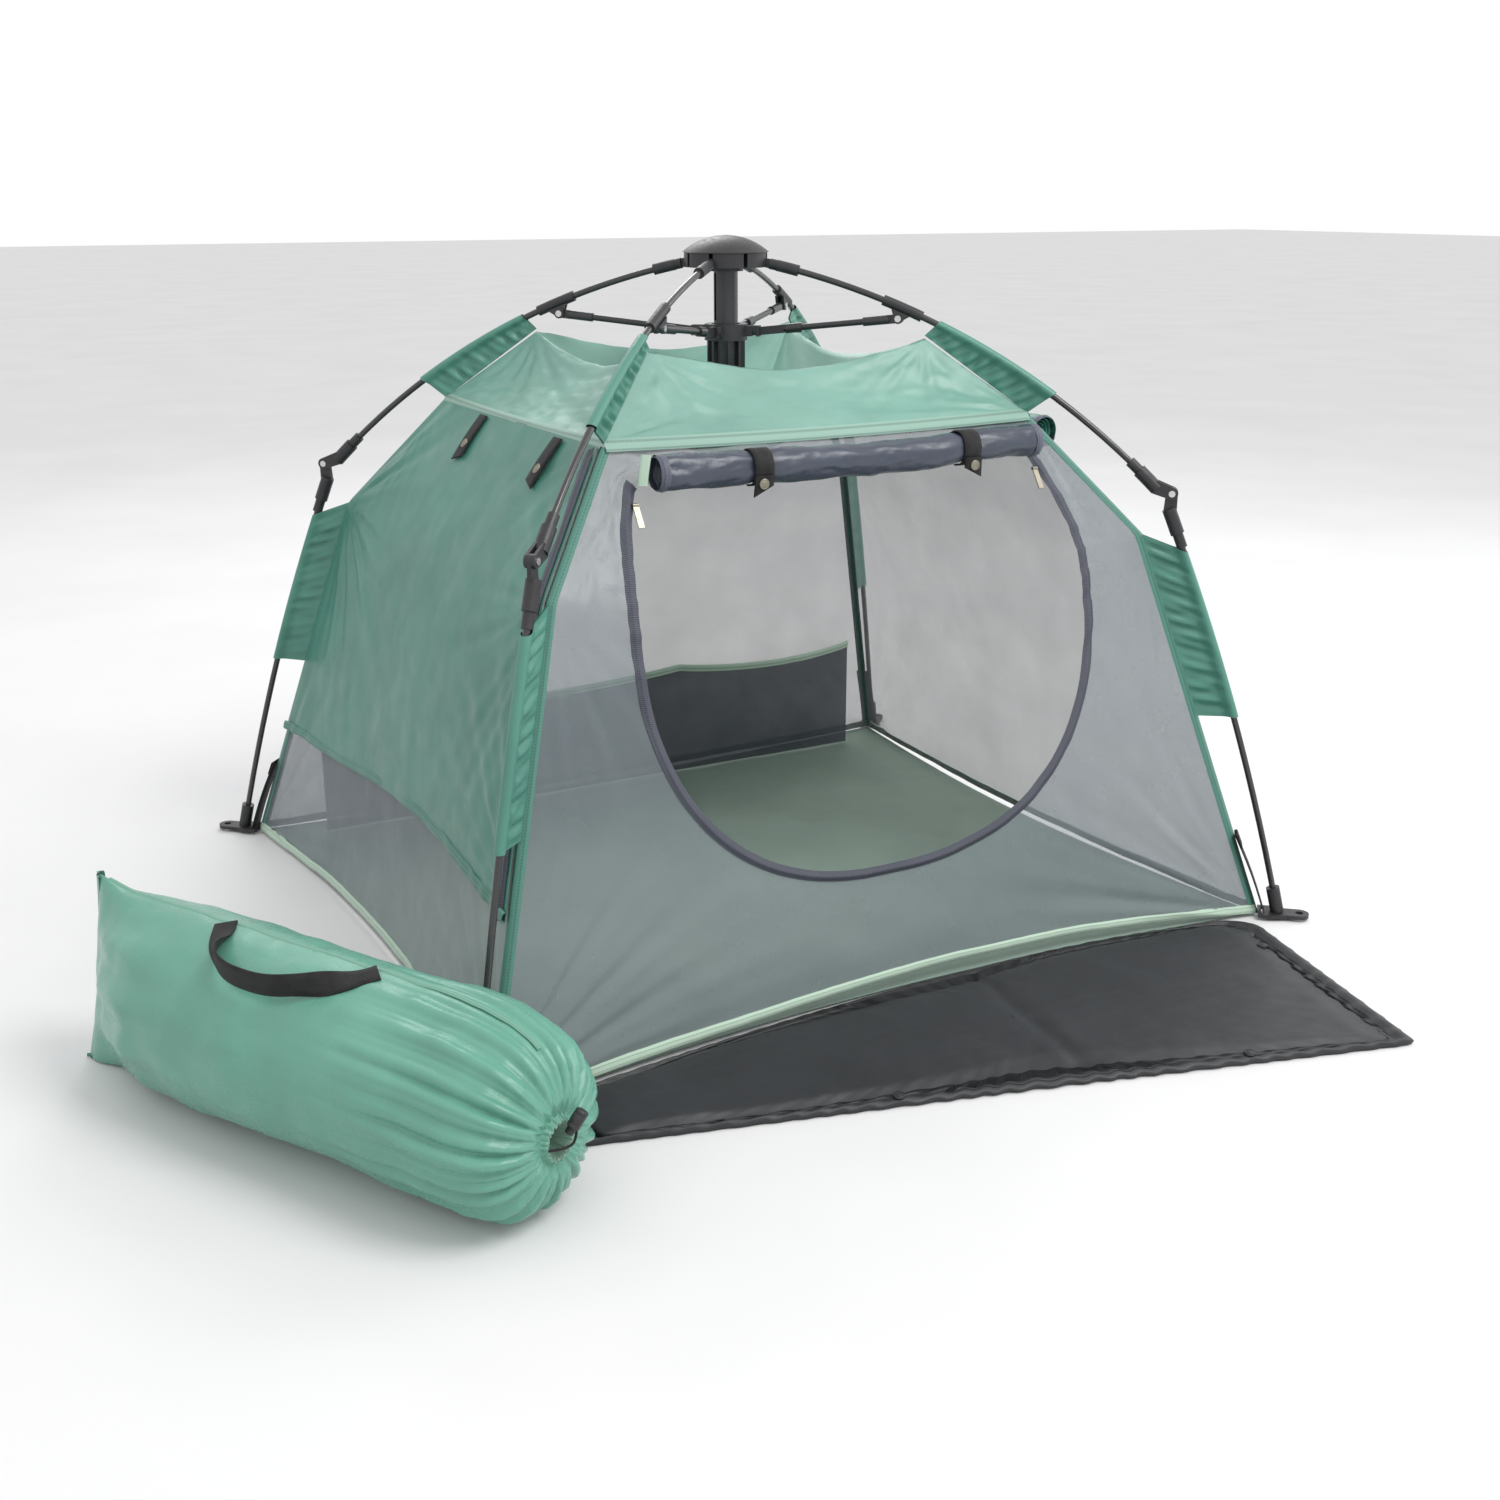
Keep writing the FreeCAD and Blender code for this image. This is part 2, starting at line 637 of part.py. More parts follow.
def zippers():
    """The door's zip round the oval, and the sun cover's zip down its front edge."""
    skin = wall_panel("front", HEM[1], out=ZIP_THICK, thick=ZIP_THICK)
    door = skin.common(door_outline(ZIP_HALF).cut(door_outline(-ZIP_HALF)))
    strip = wall_panel(
        "left", COVER_HEM_Z, inset=COVER_INSET, out=COVER_OUT + ZIP_THICK + 0.1, thick=ZIP_THICK
    )
    outline = []
    for z in (EAVE[1], SHOULDER[1], COVER_HEM_Z - 5):
        outline.append((-(FOOT_Y * share_at(z) - COVER_INSET - 1), z))
    inner = [(y + 2 * ZIP_HALF, z) for y, z in reversed(outline)]
    points = [Vector(-FOOT_X, y, z) for y, z in outline + inner]
    track = Part.Face(Part.makePolygon(points + points[:1])).extrude(Vector(FOOT_X, 0, 0))
    return group([door, strip.common(track)])


PULL_DROP = 27.0
PULLS = {"door_zip_pull_left": -270.0, "door_zip_pull_right": 266.0}
PULL_STAND = 5.2  # from the wall's outer face to the pull's eye, level
PULL_Z = 580.0


def zip_pull(x):
    """A pull tab that lies on the front wall's slope below its slider."""
    out = FOOT_Y * share_at(PULL_Z) + PULL_STAND
    fall = math.atan2(FOOT_Y * (SHOULDER[0] - EAVE[0]), EAVE[1] - SHOULDER[1])
    dy, dz = -math.sin(fall), -math.cos(fall)
    tab = Part.makeBox(7.0, 1.4, PULL_DROP, Vector(-3.5, -0.7, -PULL_DROP))
    eye = Part.makeCylinder(2.2, 7.0, Vector(-3.5, 0, 0), Vector(1, 0, 0))
    whole = add([tab, eye])
    whole.rotate(Vector(0, 0, 0), Vector(1, 0, 0), math.degrees(math.atan2(dy, -dz)))
    whole.translate(Vector(x, -out, PULL_Z))
    return whole


# ---- mat and bag ----

def padded_mat():
    return slab(MAT, 0, MAT_THICK)


def along_bag(share, side=0.0, z=0.0):
    """A point at a share of the bag's length, moved sideways and up."""
    dx, dy = toward(BAG_START, BAG_END)
    length = math.dist(BAG_START, BAG_END)
    return Vector(
        BAG_START[0] + dx * length * share - dy * side, BAG_START[1] + dy * length * share + dx * side, z
    )


BAG_AXIS_Z = 98.0  # before the bag sinks onto its flattened underside
BAG_SINK = 6.0


def carry_bag():
    """A stuffed round bag: a flat sewn end at the back, a gathered mouth at the front."""
    dx, dy = toward(BAG_START, BAG_END)
    wires = []
    for share, half_width, half_height in BAG_STATIONS:
        centre = along_bag(share, 0, BAG_AXIS_Z)
        points = []
        for i in range(24):
            a = 2 * math.pi * i / 24
            side, rise = half_width * math.cos(a), half_height * math.sin(a)
            points.append(centre + Vector(-dy * side, dx * side, rise))
        wires.append(Part.makePolygon(points + points[:1]))
    bag = Part.makeLoft(wires, True, True)
    above_ground = Part.makeBox(2000, 2000, 400, Vector(-1500, -1500, BAG_SINK))
    whole = bag.common(above_ground)
    whole.translate(Vector(0, 0, -BAG_SINK))
    return whole


HANDLE_SPAN = (0.3, 0.62)
HANDLE_TOP = 62.0
HANDLE_ROOT = -8.0
HANDLE_LOOP = (
    (0.0, HANDLE_ROOT), (0.14, 38.0), (0.34, HANDLE_TOP), (0.66, HANDLE_TOP), (0.86, 38.0), (1.0, HANDLE_ROOT),
)
HANDLE_FLOP = 112.0  # degrees from upright, away from the tent


def bag_handle():
    """A webbing grip that has flopped over on the bag's top and lies there on edge."""
    rise = 2 * BAG_AXIS_Z - BAG_SINK
    first, last = HANDLE_SPAN
    length = math.dist(BAG_START, BAG_END)
    outer = [(length * (first + (last - first) * t), rise + h) for t, h in HANDLE_LOOP]
    inner = [(x + (2.4 if t < 0.5 else -2.4), z - 2.4) for (t, _), (x, z) in zip(HANDLE_LOOP, outer)]
    band = prism(outer + inner[::-1], 0, 2 * WEB_HALF)
    band.rotate(Vector(0, 0, rise), Vector(1, 0, 0), HANDLE_FLOP)
    dx, dy = toward(BAG_START, BAG_END)
    band.rotate(Vector(0, 0, 0), UP, math.degrees(math.atan2(dy, dx)))
    band.translate(Vector(BAG_START[0], BAG_START[1], 0))
    return band.cut(carry_bag())


# The bag's mouth has its own axes: out of the bag, sideways and up, from the middle of the gathers
LOCK_FOOT = (8.0, 4.0, 10.0)
LOCK_LEAN = (0.3, 0.5, 0.81)
LOCK_R = 6.5
LOCK_LENGTH = 18.0
LOCK_STEM_R = 4.5
LOCK_STEM = 7.0
CORD_R = 1.3
CORD_ROUTE = ((1.5, -16.0, 0.0), (8.0, -2.0, -3.0), (9.0, 14.5, -2.5), (7.0, 16.5, 12.5))


def at_mouth(point):
    out, side, rise = point
    length = math.dist(BAG_START, BAG_END)
    return along_bag(1.0 + out / length, side, BAG_AXIS_Z - BAG_SINK + rise)


def bag_cord_lock():
    """The barrel toggle on the drawcord, leaning up out of the gathered mouth, with its sprung stem."""
    foot = at_mouth(LOCK_FOOT)
    lean = (at_mouth([a + b for a, b in zip(LOCK_FOOT, LOCK_LEAN)]) - foot).normalize()
    stem = Part.makeCylinder(LOCK_STEM_R, LOCK_STEM, foot, lean)
    barrel = Part.makeCylinder(LOCK_R, LOCK_LENGTH, foot + lean * LOCK_STEM, lean)
    return add([stem, barrel])


def bag_drawcord():
    """The limp cord between the mouth's rim and the toggle: straight runs with tangent arcs."""
    points = [at_mouth(p) for p in CORD_ROUTE]
    edges = []
    start = points[0]
    for before, at, after in zip(points, points[1:], points[2:]):
        into, away = (at - before), (after - at)
        turn = into.getAngle(away)
        radius = 0.45 * min(into.Length, away.Length) / math.tan(turn / 2)
        reach = radius * math.tan(turn / 2)
        into.normalize()
        away.normalize()
        first, last = at - into * reach, at + away * reach
        inward = (away - into).normalize()
        middle = at + inward * (radius / math.cos(turn / 2) - radius)
        edges += [Part.makeLine(start, first), Part.Arc(first, middle, last).toShape()]
        start = last
        print(f"drawcord radius {radius:.1f} mm, turn {math.degrees(turn):.0f} degrees")
    edges.append(Part.makeLine(start, points[-1]))
    path = Part.Wire(edges)
    heading = points[1] - points[0]
    section = Part.Wire(Part.makeCircle(CORD_R, points[0], heading))
    cord = path.makePipeShell([section], True, False)
    expected = math.pi * CORD_R**2 * path.Length
    print(f"drawcord length {path.Length:.1f} mm, volume {cord.Volume:.0f} of {expected:.0f} mm3")
    return cord


def main():
    os.makedirs("parts", exist_ok=True)
    shapes = {}
    for arm, side in ARMS.items():
        for piece, make in ARM_PIECES.items():
            shapes[f"{arm}_{piece}"] = turned(make(), side)
    shapes.update(
        {
            "crown_hub": crown_hub(),
            "crown_tube": crown_tube(),
            "slide_rod": slide_rod(),
            "outer_tube": outer_tube(),
            "runner": runner(),
            "roof_panel": roof_panel(),
            "front_mesh_wall": front_mesh_wall(),
            "back_mesh_wall": plain_wall("back")(),
            "left_mesh_wall": plain_wall("left")(),
            "right_mesh_wall": plain_wall("right")(),
            "left_sun_cover": left_sun_cover(),
            "floor_sheet": floor_sheet(),
            "pole_sleeves": pole_sleeves(),
            "rolled_panels": rolled_panels(),
            "webbing_straps": webbing_straps(),
            "storage_pocket": storage_pocket(),
            "zippers": zippers(),
            "padded_mat": padded_mat(),
            "carry_bag": carry_bag(),
            "bag_handle": bag_handle(),
            "bag_cord_lock": bag_cord_lock(),
            "bag_drawcord": bag_drawcord(),
        }
    )
    for name, x in PULLS.items():
        shapes[name] = zip_pull(x)
    for name, shape in shapes.items():
        shape.exportStep(f"parts/{name}.step")
        if not shape.isValid() or shape.Volume <= 0:
            print("bad shape:", name)
    print(len(shapes), "nodes")


main()
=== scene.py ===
"""Pop up tent: its cloth, cord, straps and materials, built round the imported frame.

Metres, in the frame's own axes: the origin is on the ground under the hub, +Z is up and the door faces -Y.
"""

import math

import bpy
import numpy as np
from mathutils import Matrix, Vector


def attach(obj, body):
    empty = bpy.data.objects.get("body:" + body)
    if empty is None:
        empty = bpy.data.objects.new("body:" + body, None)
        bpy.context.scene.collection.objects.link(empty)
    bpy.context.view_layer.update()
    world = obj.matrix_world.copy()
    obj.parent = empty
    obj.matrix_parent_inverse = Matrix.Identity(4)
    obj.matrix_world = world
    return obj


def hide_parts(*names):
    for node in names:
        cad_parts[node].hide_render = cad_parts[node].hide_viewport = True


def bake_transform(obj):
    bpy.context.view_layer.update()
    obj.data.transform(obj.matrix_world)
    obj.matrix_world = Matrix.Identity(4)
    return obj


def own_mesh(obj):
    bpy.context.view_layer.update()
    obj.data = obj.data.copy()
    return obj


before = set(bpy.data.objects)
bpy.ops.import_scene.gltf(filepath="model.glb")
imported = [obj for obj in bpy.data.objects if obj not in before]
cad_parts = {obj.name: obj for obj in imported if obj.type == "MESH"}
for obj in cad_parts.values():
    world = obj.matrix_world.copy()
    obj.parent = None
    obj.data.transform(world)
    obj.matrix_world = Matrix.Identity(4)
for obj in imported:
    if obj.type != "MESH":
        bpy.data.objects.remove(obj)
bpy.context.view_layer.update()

# ---- driving dimensions, as in the CAD source ----

FOOT_X = 0.550
FOOT_Y = 0.487
REACH = math.hypot(FOOT_X, FOOT_Y)
ARMS = {"front_left": (-1, -1), "front_right": (1, -1), "back_left": (-1, 1), "back_right": (1, 1)}

# Rings of the cloth body: (share of the way to the feet, height)
PEAK = (0.3426, 0.728)
EAVE = (0.5188, 0.6375)
SHOULDER = (0.7186, 0.496)
HEM = (0.965, 0.004)
CREST_MID = (0.315, 0.698)
BOWL_Z = 0.569
SEAM_INSET = 0.003

CROWN_PIN = (0.042, 0.818)
KNEE_LINE = (0.5536707, 0.5424661)
FOOT_POINT = (0.735, 0.008)
ROD_BEND = 0.980
LEG_BEND = 3.600

DOOR_HALF = 0.300
DOOR_MID_Z = 0.440
DOOR_RISE = 0.290
DOOR_POWER = 2.3
DOOR_TOP_Z = 0.598

COVER_STAND = 0.0055
ROLL_R = 0.0195
ROLL_Z = 0.612
ROLL_STAND = 0.022
DOOR_TIES = (-0.122, 0.158)
COVER_TIES = (-0.149, 0.087)
WEB_HALF = 0.012

SIDES = {  # along the wall, seen from outside left to right, and outward
    "front": ((1, 0), (0, -1)),
    "right": ((0, 1), (1, 0)),
    "back": ((-1, 0), (0, 1)),
    "left": ((0, -1), (-1, 0)),
}
CORNERS = {
    "front": ("front_left", "front_right"),
    "right": ("front_right", "back_right"),
    "back": ("back_right", "back_left"),
    "left": ("back_left", "front_left"),
}


def half_of(side):
    return FOOT_X if side in ("front", "back") else FOOT_Y


def depth_of(side):
    return FOOT_Y if side in ("front", "back") else FOOT_X


def place(side, a, z, out):
    """Points on a side: a along it, z up, out from the hub's axis."""
    (ax, ay), (ox, oy) = SIDES[side]
    a, z, out = np.broadcast_arrays(a, z, out)
    return np.stack([ax * a + ox * out, ay * a + oy * out, z], axis=-1)


def smooth(t):
    t = np.clip(t, 0, 1)
    return t * t * (3 - 2 * t)


# ---- cloth's relief ----

def swell(points, size, seed):
    """Smooth uneven relief, about -1 to 1, with humps about size across."""
    rng = np.random.default_rng(seed)
    total = np.zeros(points.shape[:-1])
    bend = 0.0
    for octave in range(3):
        for _ in range(4):
            way = rng.normal(size=points.shape[-1])
            way *= 2 * math.pi / size * 2**octave * 0.6 / np.linalg.norm(way)
            wave = np.sin(points @ way + rng.uniform(0, 6.28) + bend)
            total = total + wave / 4 / 1.7**octave
            bend = bend * 0.5 + 0.8 * wave
    return total * 0.8


def pleats(a, z, centre, count, reach, seed):
    """Tension folds that run out from a point of the cloth, strongest a third of their reach away."""
    rng = np.random.default_rng(seed)
    da, dz = a - centre[0], z - centre[1]
    r = np.hypot(da, dz)
    angle = np.arctan2(dz, da)
    wave = np.sin(count * angle + rng.uniform(0, 6.28) + 1.2 * np.sin(3 * angle + rng.uniform(0, 6.28)))
    fine = np.sin(1.9 * count * angle + rng.uniform(0, 6.28) + 2 * r / reach)
    near = r / reach
    return (0.7 * wave + 0.4 * fine) * near * np.exp(1 - 3 * near) * 1.6


# ---- meshes ----

def grid_faces(rows, columns, wrap=False):
    """Quads over a rows x columns array of points, closed round the columns if wrap."""
    faces = []
    last = columns if wrap else columns - 1
    for r in range(rows - 1):
        for c in range(last):
            d = (c + 1) % columns
            faces.append((r * columns + c, r * columns + d, (r + 1) * columns + d, (r + 1) * columns + c))
    return np.array(faces)


def vertex_normals(points, faces):
    total = np.zeros_like(points)
    a, b, c, d = (points[faces[:, k]] for k in range(4))
    normal = np.cross(c - a, d - b)
    for k in range(4):
        np.add.at(total, faces[:, k], normal)
    return total / np.maximum(np.linalg.norm(total, axis=1), 1e-12)[:, None]


def mesh_piece(name, points, faces, material, uv=None, normals=None, flat_shaded=False):
    """A piece from arrays. Given normals are kept, so a cloth cut into parts shades as one."""
    mesh = bpy.data.meshes.new(name)
    mesh.from_pydata(points.tolist(), [], [tuple(int(i) for i in f) for f in faces])
    if uv is not None:
        layer = mesh.uv_layers.new(name="UVMap")
        loops = np.zeros(len(mesh.loops), np.int32)
        mesh.loops.foreach_get("vertex_index", loops)
        layer.data.foreach_set("uv", uv[loops].astype(np.float32).ravel())
    if not flat_shaded:
        mesh.polygons.foreach_set("use_smooth", np.ones(len(mesh.polygons), bool))
    if normals is not None:
        mesh.normals_split_custom_set_from_vertices(normals.tolist())
    mesh.materials.append(material)
    piece = bpy.data.objects.new(name, mesh)
    bpy.context.scene.collection.objects.link(piece)
    return piece


def grid_piece(name, points, material, uv=None, wrap=False):
    """A piece from a rows x columns x 3 array of points."""
    rows, columns = points.shape[:2]
    flat_uv = None if uv is None else uv.reshape(-1, 2)
    return mesh_piece(name, points.reshape(-1, 3), grid_faces(rows, columns, wrap), material, flat_uv)


def stands_for(node):
    """The piece is shown in place of a CAD node, which is hidden."""
    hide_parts(node)


# ---- folding ----

def seam_point(side, sign, ring):
    """Where a side's corner seam crosses a ring."""
    return Vector(place(side, sign * half_of(side) * ring[0], ring[1], depth_of(side) * ring[0]).tolist())


SEAMS = {"roof": (PEAK, EAVE), "upper": (EAVE, SHOULDER), "lower": (SHOULDER, HEM)}


def fold(piece, side, sign, level):
    """The piece rides its corner's arm or leg."""
    top, bottom = (seam_point(side, sign, ring) for ring in SEAMS[level])
    arm = CORNERS[side][0 if sign < 0 else 1]
    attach(piece, f"leg_{arm}" if level == "lower" else f"arm_{arm}")
    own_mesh(piece)


def cut_and_fold(name, side, points, faces, uv, material, node, levels, plain=None):
    """Cuts one cloth of a side at its middle and at the shoulder, and folds each part with its corner.

    plain is the cloth's points without relief; it is not used.
    """
    normals = vertex_normals(points, faces)
    middle = points[faces].mean(axis=1)
    along = middle @ np.array([*SIDES[side][0], 0.0])
    parts = []
    for sign in (-1, 1):
        for level in levels:
            here = np.sign(along) == sign if sign > 0 else along <= 0
            if len(levels) > 1:
                here &= (middle[:, 2] > SHOULDER[1]) == (level == "upper")
            if not here.any():
                continue
            used, local = np.unique(faces[here], return_inverse=True)
            local = local.reshape(-1, 4)
            corner = CORNERS[side][0 if sign < 0 else 1]
            part = mesh_piece(
                f"{name}_{corner}_{level}", points[used], local, material, uv[used], normals[used]
            )
            stands_for(node)
            fold(part, side, sign, level)
            parts.append(part)
    return parts


# ---- materials ----

def node_material(name):
    material = bpy.data.materials.new(name)
    material.use_nodes = True
    tree = material.node_tree
    return material, tree, tree.nodes["Principled BSDF"]


def add_node(tree, kind, **inputs):
    node = tree.nodes.new(kind)
    for key, value in inputs.items():
        node.inputs[key.replace("_", " ")].default_value = value
    return node


def noise_node(tree, coordinates, scale, detail=4.0, rough=0.55):
    noise = add_node(tree, "ShaderNodeTexNoise", Scale=scale, Detail=detail, Roughness=rough)
    tree.links.new(coordinates, noise.inputs["Vector"])
    return noise.outputs["Fac"]


def ramp_node(tree, value, low, high, at=(0.3, 0.7)):
    ramp = tree.nodes.new("ShaderNodeValToRGB")
    ramp.color_ramp.elements[0].position, ramp.color_ramp.elements[1].position = at
    ramp.color_ramp.elements[0].color = (*low, 1)
    ramp.color_ramp.elements[1].color = (*high, 1)
    tree.links.new(value, ramp.inputs["Fac"])
    return ramp.outputs["Color"]


def range_node(tree, value, low, high):
    span = add_node(tree, "ShaderNodeMapRange", From_Min=0.3, From_Max=0.7, To_Min=low, To_Max=high)
    tree.links.new(value, span.inputs["Value"])
    return span.outputs["Result"]


def mul_add(tree, value, factor, plus=0.0):
    node = tree.nodes.new("ShaderNodeMath")
    node.operation = "MULTIPLY_ADD"
    tree.links.new(value, node.inputs[0])
    node.inputs[1].default_value = factor
    if hasattr(plus, "is_linked"):
        tree.links.new(plus, node.inputs[2])
    else:
        node.inputs[2].default_value = plus
    return node.outputs[0]


def wave_node(tree, coordinates, pitch, direction):
    wave = add_node(tree, "ShaderNodeTexWave", Scale=0.31416 / pitch, Distortion=0.6, Detail=1.0)
    wave.bands_direction = direction
    tree.links.new(coordinates, wave.inputs["Vector"])
    return wave.outputs["Fac"]


def maths_node(tree, operation, first, second=None):
    node = tree.nodes.new("ShaderNodeMath")
    node.operation = operation
    tree.links.new(first, node.inputs[0])
    if isinstance(second, float):
        node.inputs[1].default_value = second
    elif second is not None:
        tree.links.new(second, node.inputs[1])
    return node.outputs[0]


def shade(colour, factor):
    return tuple(min(1.0, c * factor) for c in colour)


def cloth_material(name, colour, rough=0.42, sheen=0.25, pitch=0.0006, crinkle=0.25, alpha=1.0, spread=0.12):
    """Woven cloth: threads both ways, soft crinkles, uneven colour and gloss."""
    material, tree, shader = node_material(name)
    where = tree.nodes.new("ShaderNodeTexCoord")
    flat, solid = where.outputs["UV"], where.outputs["Object"]
    patches = noise_node(tree, solid, 7.0)
    tint = ramp_node(tree, patches, shade(colour, 1 - spread), shade(colour, 1 + spread))
    tree.links.new(tint, shader.inputs["Base Color"])
    gloss = range_node(tree, noise_node(tree, solid, 30.0), rough - 0.05, rough + 0.07)
    tree.links.new(gloss, shader.inputs["Roughness"])
    weave = mul_add(tree, wave_node(tree, flat, pitch, "X"), 0.5, wave_node(tree, flat, pitch, "Y"))
    fine = mul_add(tree, noise_node(tree, solid, 90.0, 3.0), 2.0 * crinkle, mul_add(tree, weave, 0.06))
    height = mul_add(tree, noise_node(tree, solid, 24.0, 2.0), 3.0 * crinkle, fine)
    bump = add_node(tree, "ShaderNodeBump", Strength=0.35, Distance=0.0011)
    tree.links.new(height, bump.inputs["Height"])
    tree.links.new(bump.outputs["Normal"], shader.inputs["Normal"])
    shader.inputs["Sheen Weight"].default_value = sheen
    shader.inputs["Sheen Roughness"].default_value = 0.4
    shader.inputs["Sheen Tint"].default_value = (*shade(colour, 1.6), 1)
    if alpha < 1:
        holes = range_node(tree, noise_node(tree, solid, 11.0), alpha - 0.03, alpha + 0.03)
        tree.links.new(holes, shader.inputs["Alpha"])
    return material


def webbing_material(name, colour):
    """Black webbing: ribs along it and a chevron of threads across."""
    material, tree, shader = node_material(name)
    where = tree.nodes.new("ShaderNodeTexCoord")
    threads = wave_node(tree, where.outputs["UV"], 0.0016, "DIAGONAL")
    ribs = wave_node(tree, where.outputs["UV"], 0.0028, "X")
    height = mul_add(tree, ribs, 0.6, threads)
    bump = add_node(tree, "ShaderNodeBump", Strength=0.6, Distance=0.0004)
    tree.links.new(height, bump.inputs["Height"])
    tree.links.new(bump.outputs["Normal"], shader.inputs["Normal"])
    fuzz = noise_node(tree, where.outputs["Object"], 60.0)
    tree.links.new(ramp_node(tree, fuzz, shade(colour, 0.7), shade(colour, 1.5)), shader.inputs["Base Color"])
    shader.inputs["Roughness"].default_value = 0.72
    shader.inputs["Specular IOR Level"].default_value = 0.3
    shader.inputs["Sheen Weight"].default_value = 0.04
    return material


def moulded_material(name, colour, rough, grain=180.0, coat=0.0, metallic=0.0, scuff=0.25):
    """Moulded plastic or coated metal: fine grain, and edges rubbed paler."""
    material, tree, shader = node_material(name)
    where = tree.nodes.new("ShaderNodeTexCoord")
    geometry = tree.nodes.new("ShaderNodeNewGeometry")
    edges = add_node(tree, "ShaderNodeMapRange", From_Min=0.5, From_Max=0.62, To_Min=0.0, To_Max=scuff)
    tree.links.new(geometry.outputs["Pointiness"], edges.inputs["Value"])
    worn = mul_add(tree, noise_node(tree, where.outputs["Object"], 25.0), 0.35, edges.outputs["Result"])
    tree.links.new(
        ramp_node(tree, worn, colour, shade(colour, 2.2), (0.1, 0.75)), shader.inputs["Base Color"]
    )
    speckle = noise_node(tree, where.outputs["Object"], grain, 2.0)
    tree.links.new(range_node(tree, speckle, rough - 0.06, rough + 0.08), shader.inputs["Roughness"])
    bump = add_node(tree, "ShaderNodeBump", Strength=0.25, Distance=0.0003)
    tree.links.new(speckle, bump.inputs["Height"])
    tree.links.new(bump.outputs["Normal"], shader.inputs["Normal"])
    shader.inputs["Metallic"].default_value = metallic
    shader.inputs["Coat Weight"].default_value = coat
    shader.inputs["Coat Roughness"].default_value = 0.12
    return material


def zip_material(name, colour, teeth_pitch=0.0022):
    """Zip tape with its coil of teeth down the middle: V runs along it, U across it in metres."""
    material, tree, shader = node_material(name)
    where = tree.nodes.new("ShaderNodeTexCoord")
    teeth = wave_node(tree, where.outputs["UV"], teeth_pitch, "Y")
    rows = wave_node(tree, where.outputs["UV"], 0.0011, "X")
    bump = add_node(tree, "ShaderNodeBump", Strength=0.7, Distance=0.0005)
    tree.links.new(mul_add(tree, rows, 0.35, teeth), bump.inputs["Height"])
    tree.links.new(bump.outputs["Normal"], shader.inputs["Normal"])
    tint = ramp_node(tree, teeth, shade(colour, 0.65), shade(colour, 1.25), (0.1, 0.8))
    tree.links.new(tint, shader.inputs["Base Color"])
    shader.inputs["Roughness"].default_value = 0.5
    return material


STITCH_LINE = 0.27  # its place across half the tape, from 0 at the edge to 0.5
STITCH_PITCH = 0.0032


def binding_material(name, colour):
    """Folded binding tape, stitched near each edge: U across it from 0 to 1, V along it in metres."""
    material, tree, shader = node_material(name)
    where = tree.nodes.new("ShaderNodeTexCoord")
    split = tree.nodes.new("ShaderNodeSeparateXYZ")
    tree.links.new(where.outputs["UV"], split.inputs["Vector"])
    line = add_node(tree, "ShaderNodeMapRange", From_Min=0.035, From_Max=0.075, To_Min=1.0, To_Max=0.0)
    folded = maths_node(tree, "PINGPONG", split.outputs["X"], 0.5)
    away = maths_node(tree, "ABSOLUTE", maths_node(tree, "SUBTRACT", folded, STITCH_LINE))
    tree.links.new(away, line.inputs["Value"])
    dashes = maths_node(tree, "SINE", mul_add(tree, split.outputs["Y"], 2 * math.pi / STITCH_PITCH))
    stitch = maths_node(tree, "MULTIPLY", line.outputs["Result"], range_node(tree, dashes, 0.35, 1.0))
    tint = ramp_node(tree, stitch, colour, shade(colour, 0.5), (0.0, 1.0))
    tree.links.new(tint, shader.inputs["Base Color"])
    fibre = noise_node(tree, where.outputs["Object"], 220.0, 2.0)
    bump = add_node(tree, "ShaderNodeBump", Strength=0.5, Distance=0.0006)
    tree.links.new(mul_add(tree, stitch, -1.2, mul_add(tree, fibre, 0.3)), bump.inputs["Height"])
    tree.links.new(bump.outputs["Normal"], shader.inputs["Normal"])
    shader.inputs["Roughness"].default_value = 0.6
    shader.inputs["Sheen Weight"].default_value = 0.15
    return material


ROOF = cloth_material("roof_cloth", (0.165, 0.33, 0.275), rough=0.36, sheen=0.1, crinkle=0.16)
COVER = cloth_material("cover_cloth", (0.045, 0.185, 0.14), rough=0.34, sheen=0.06, crinkle=0.12)
SLEEVE = cloth_material("sleeve_cloth", (0.065, 0.215, 0.165), rough=0.34, sheen=0.08, crinkle=0.3)
MESH = cloth_material(
    "mesh_cloth", (0.185, 0.22, 0.24), rough=0.34, sheen=0.45, pitch=0.0012, alpha=0.57, spread=0.04
)
FAR_MESH = cloth_material(
    "far_mesh_cloth", (0.2, 0.205, 0.22), rough=0.4, sheen=0.4, pitch=0.0012, alpha=0.64, spread=0.04
)
FLOOR = cloth_material("floor_cloth", (0.235, 0.32, 0.27), rough=0.5, sheen=0.1, spread=0.08)
ROLL = cloth_material("door_cloth", (0.045, 0.055, 0.078), rough=0.24, sheen=0.15, crinkle=0.5)
POCKET = cloth_material("pocket_mesh", (0.065, 0.075, 0.09), rough=0.5, sheen=0.3, pitch=0.0016, alpha=0.95)
QUILT = cloth_material("mat_cloth", (0.02, 0.022, 0.025), rough=0.5, sheen=0.1, crinkle=0.45, spread=0.15)
BAG = cloth_material("bag_cloth", (0.115, 0.31, 0.235), rough=0.27, sheen=0.1, crinkle=0.22)
LINING = cloth_material("bag_lining", (0.2, 0.33, 0.26), rough=0.5, sheen=0.1)
WEBBING = webbing_material("black_webbing", (0.012, 0.012, 0.013))
CORD = webbing_material("black_cord", (0.014, 0.014, 0.015))
ZIP = zip_material("zip_tape", (0.06, 0.066, 0.09))
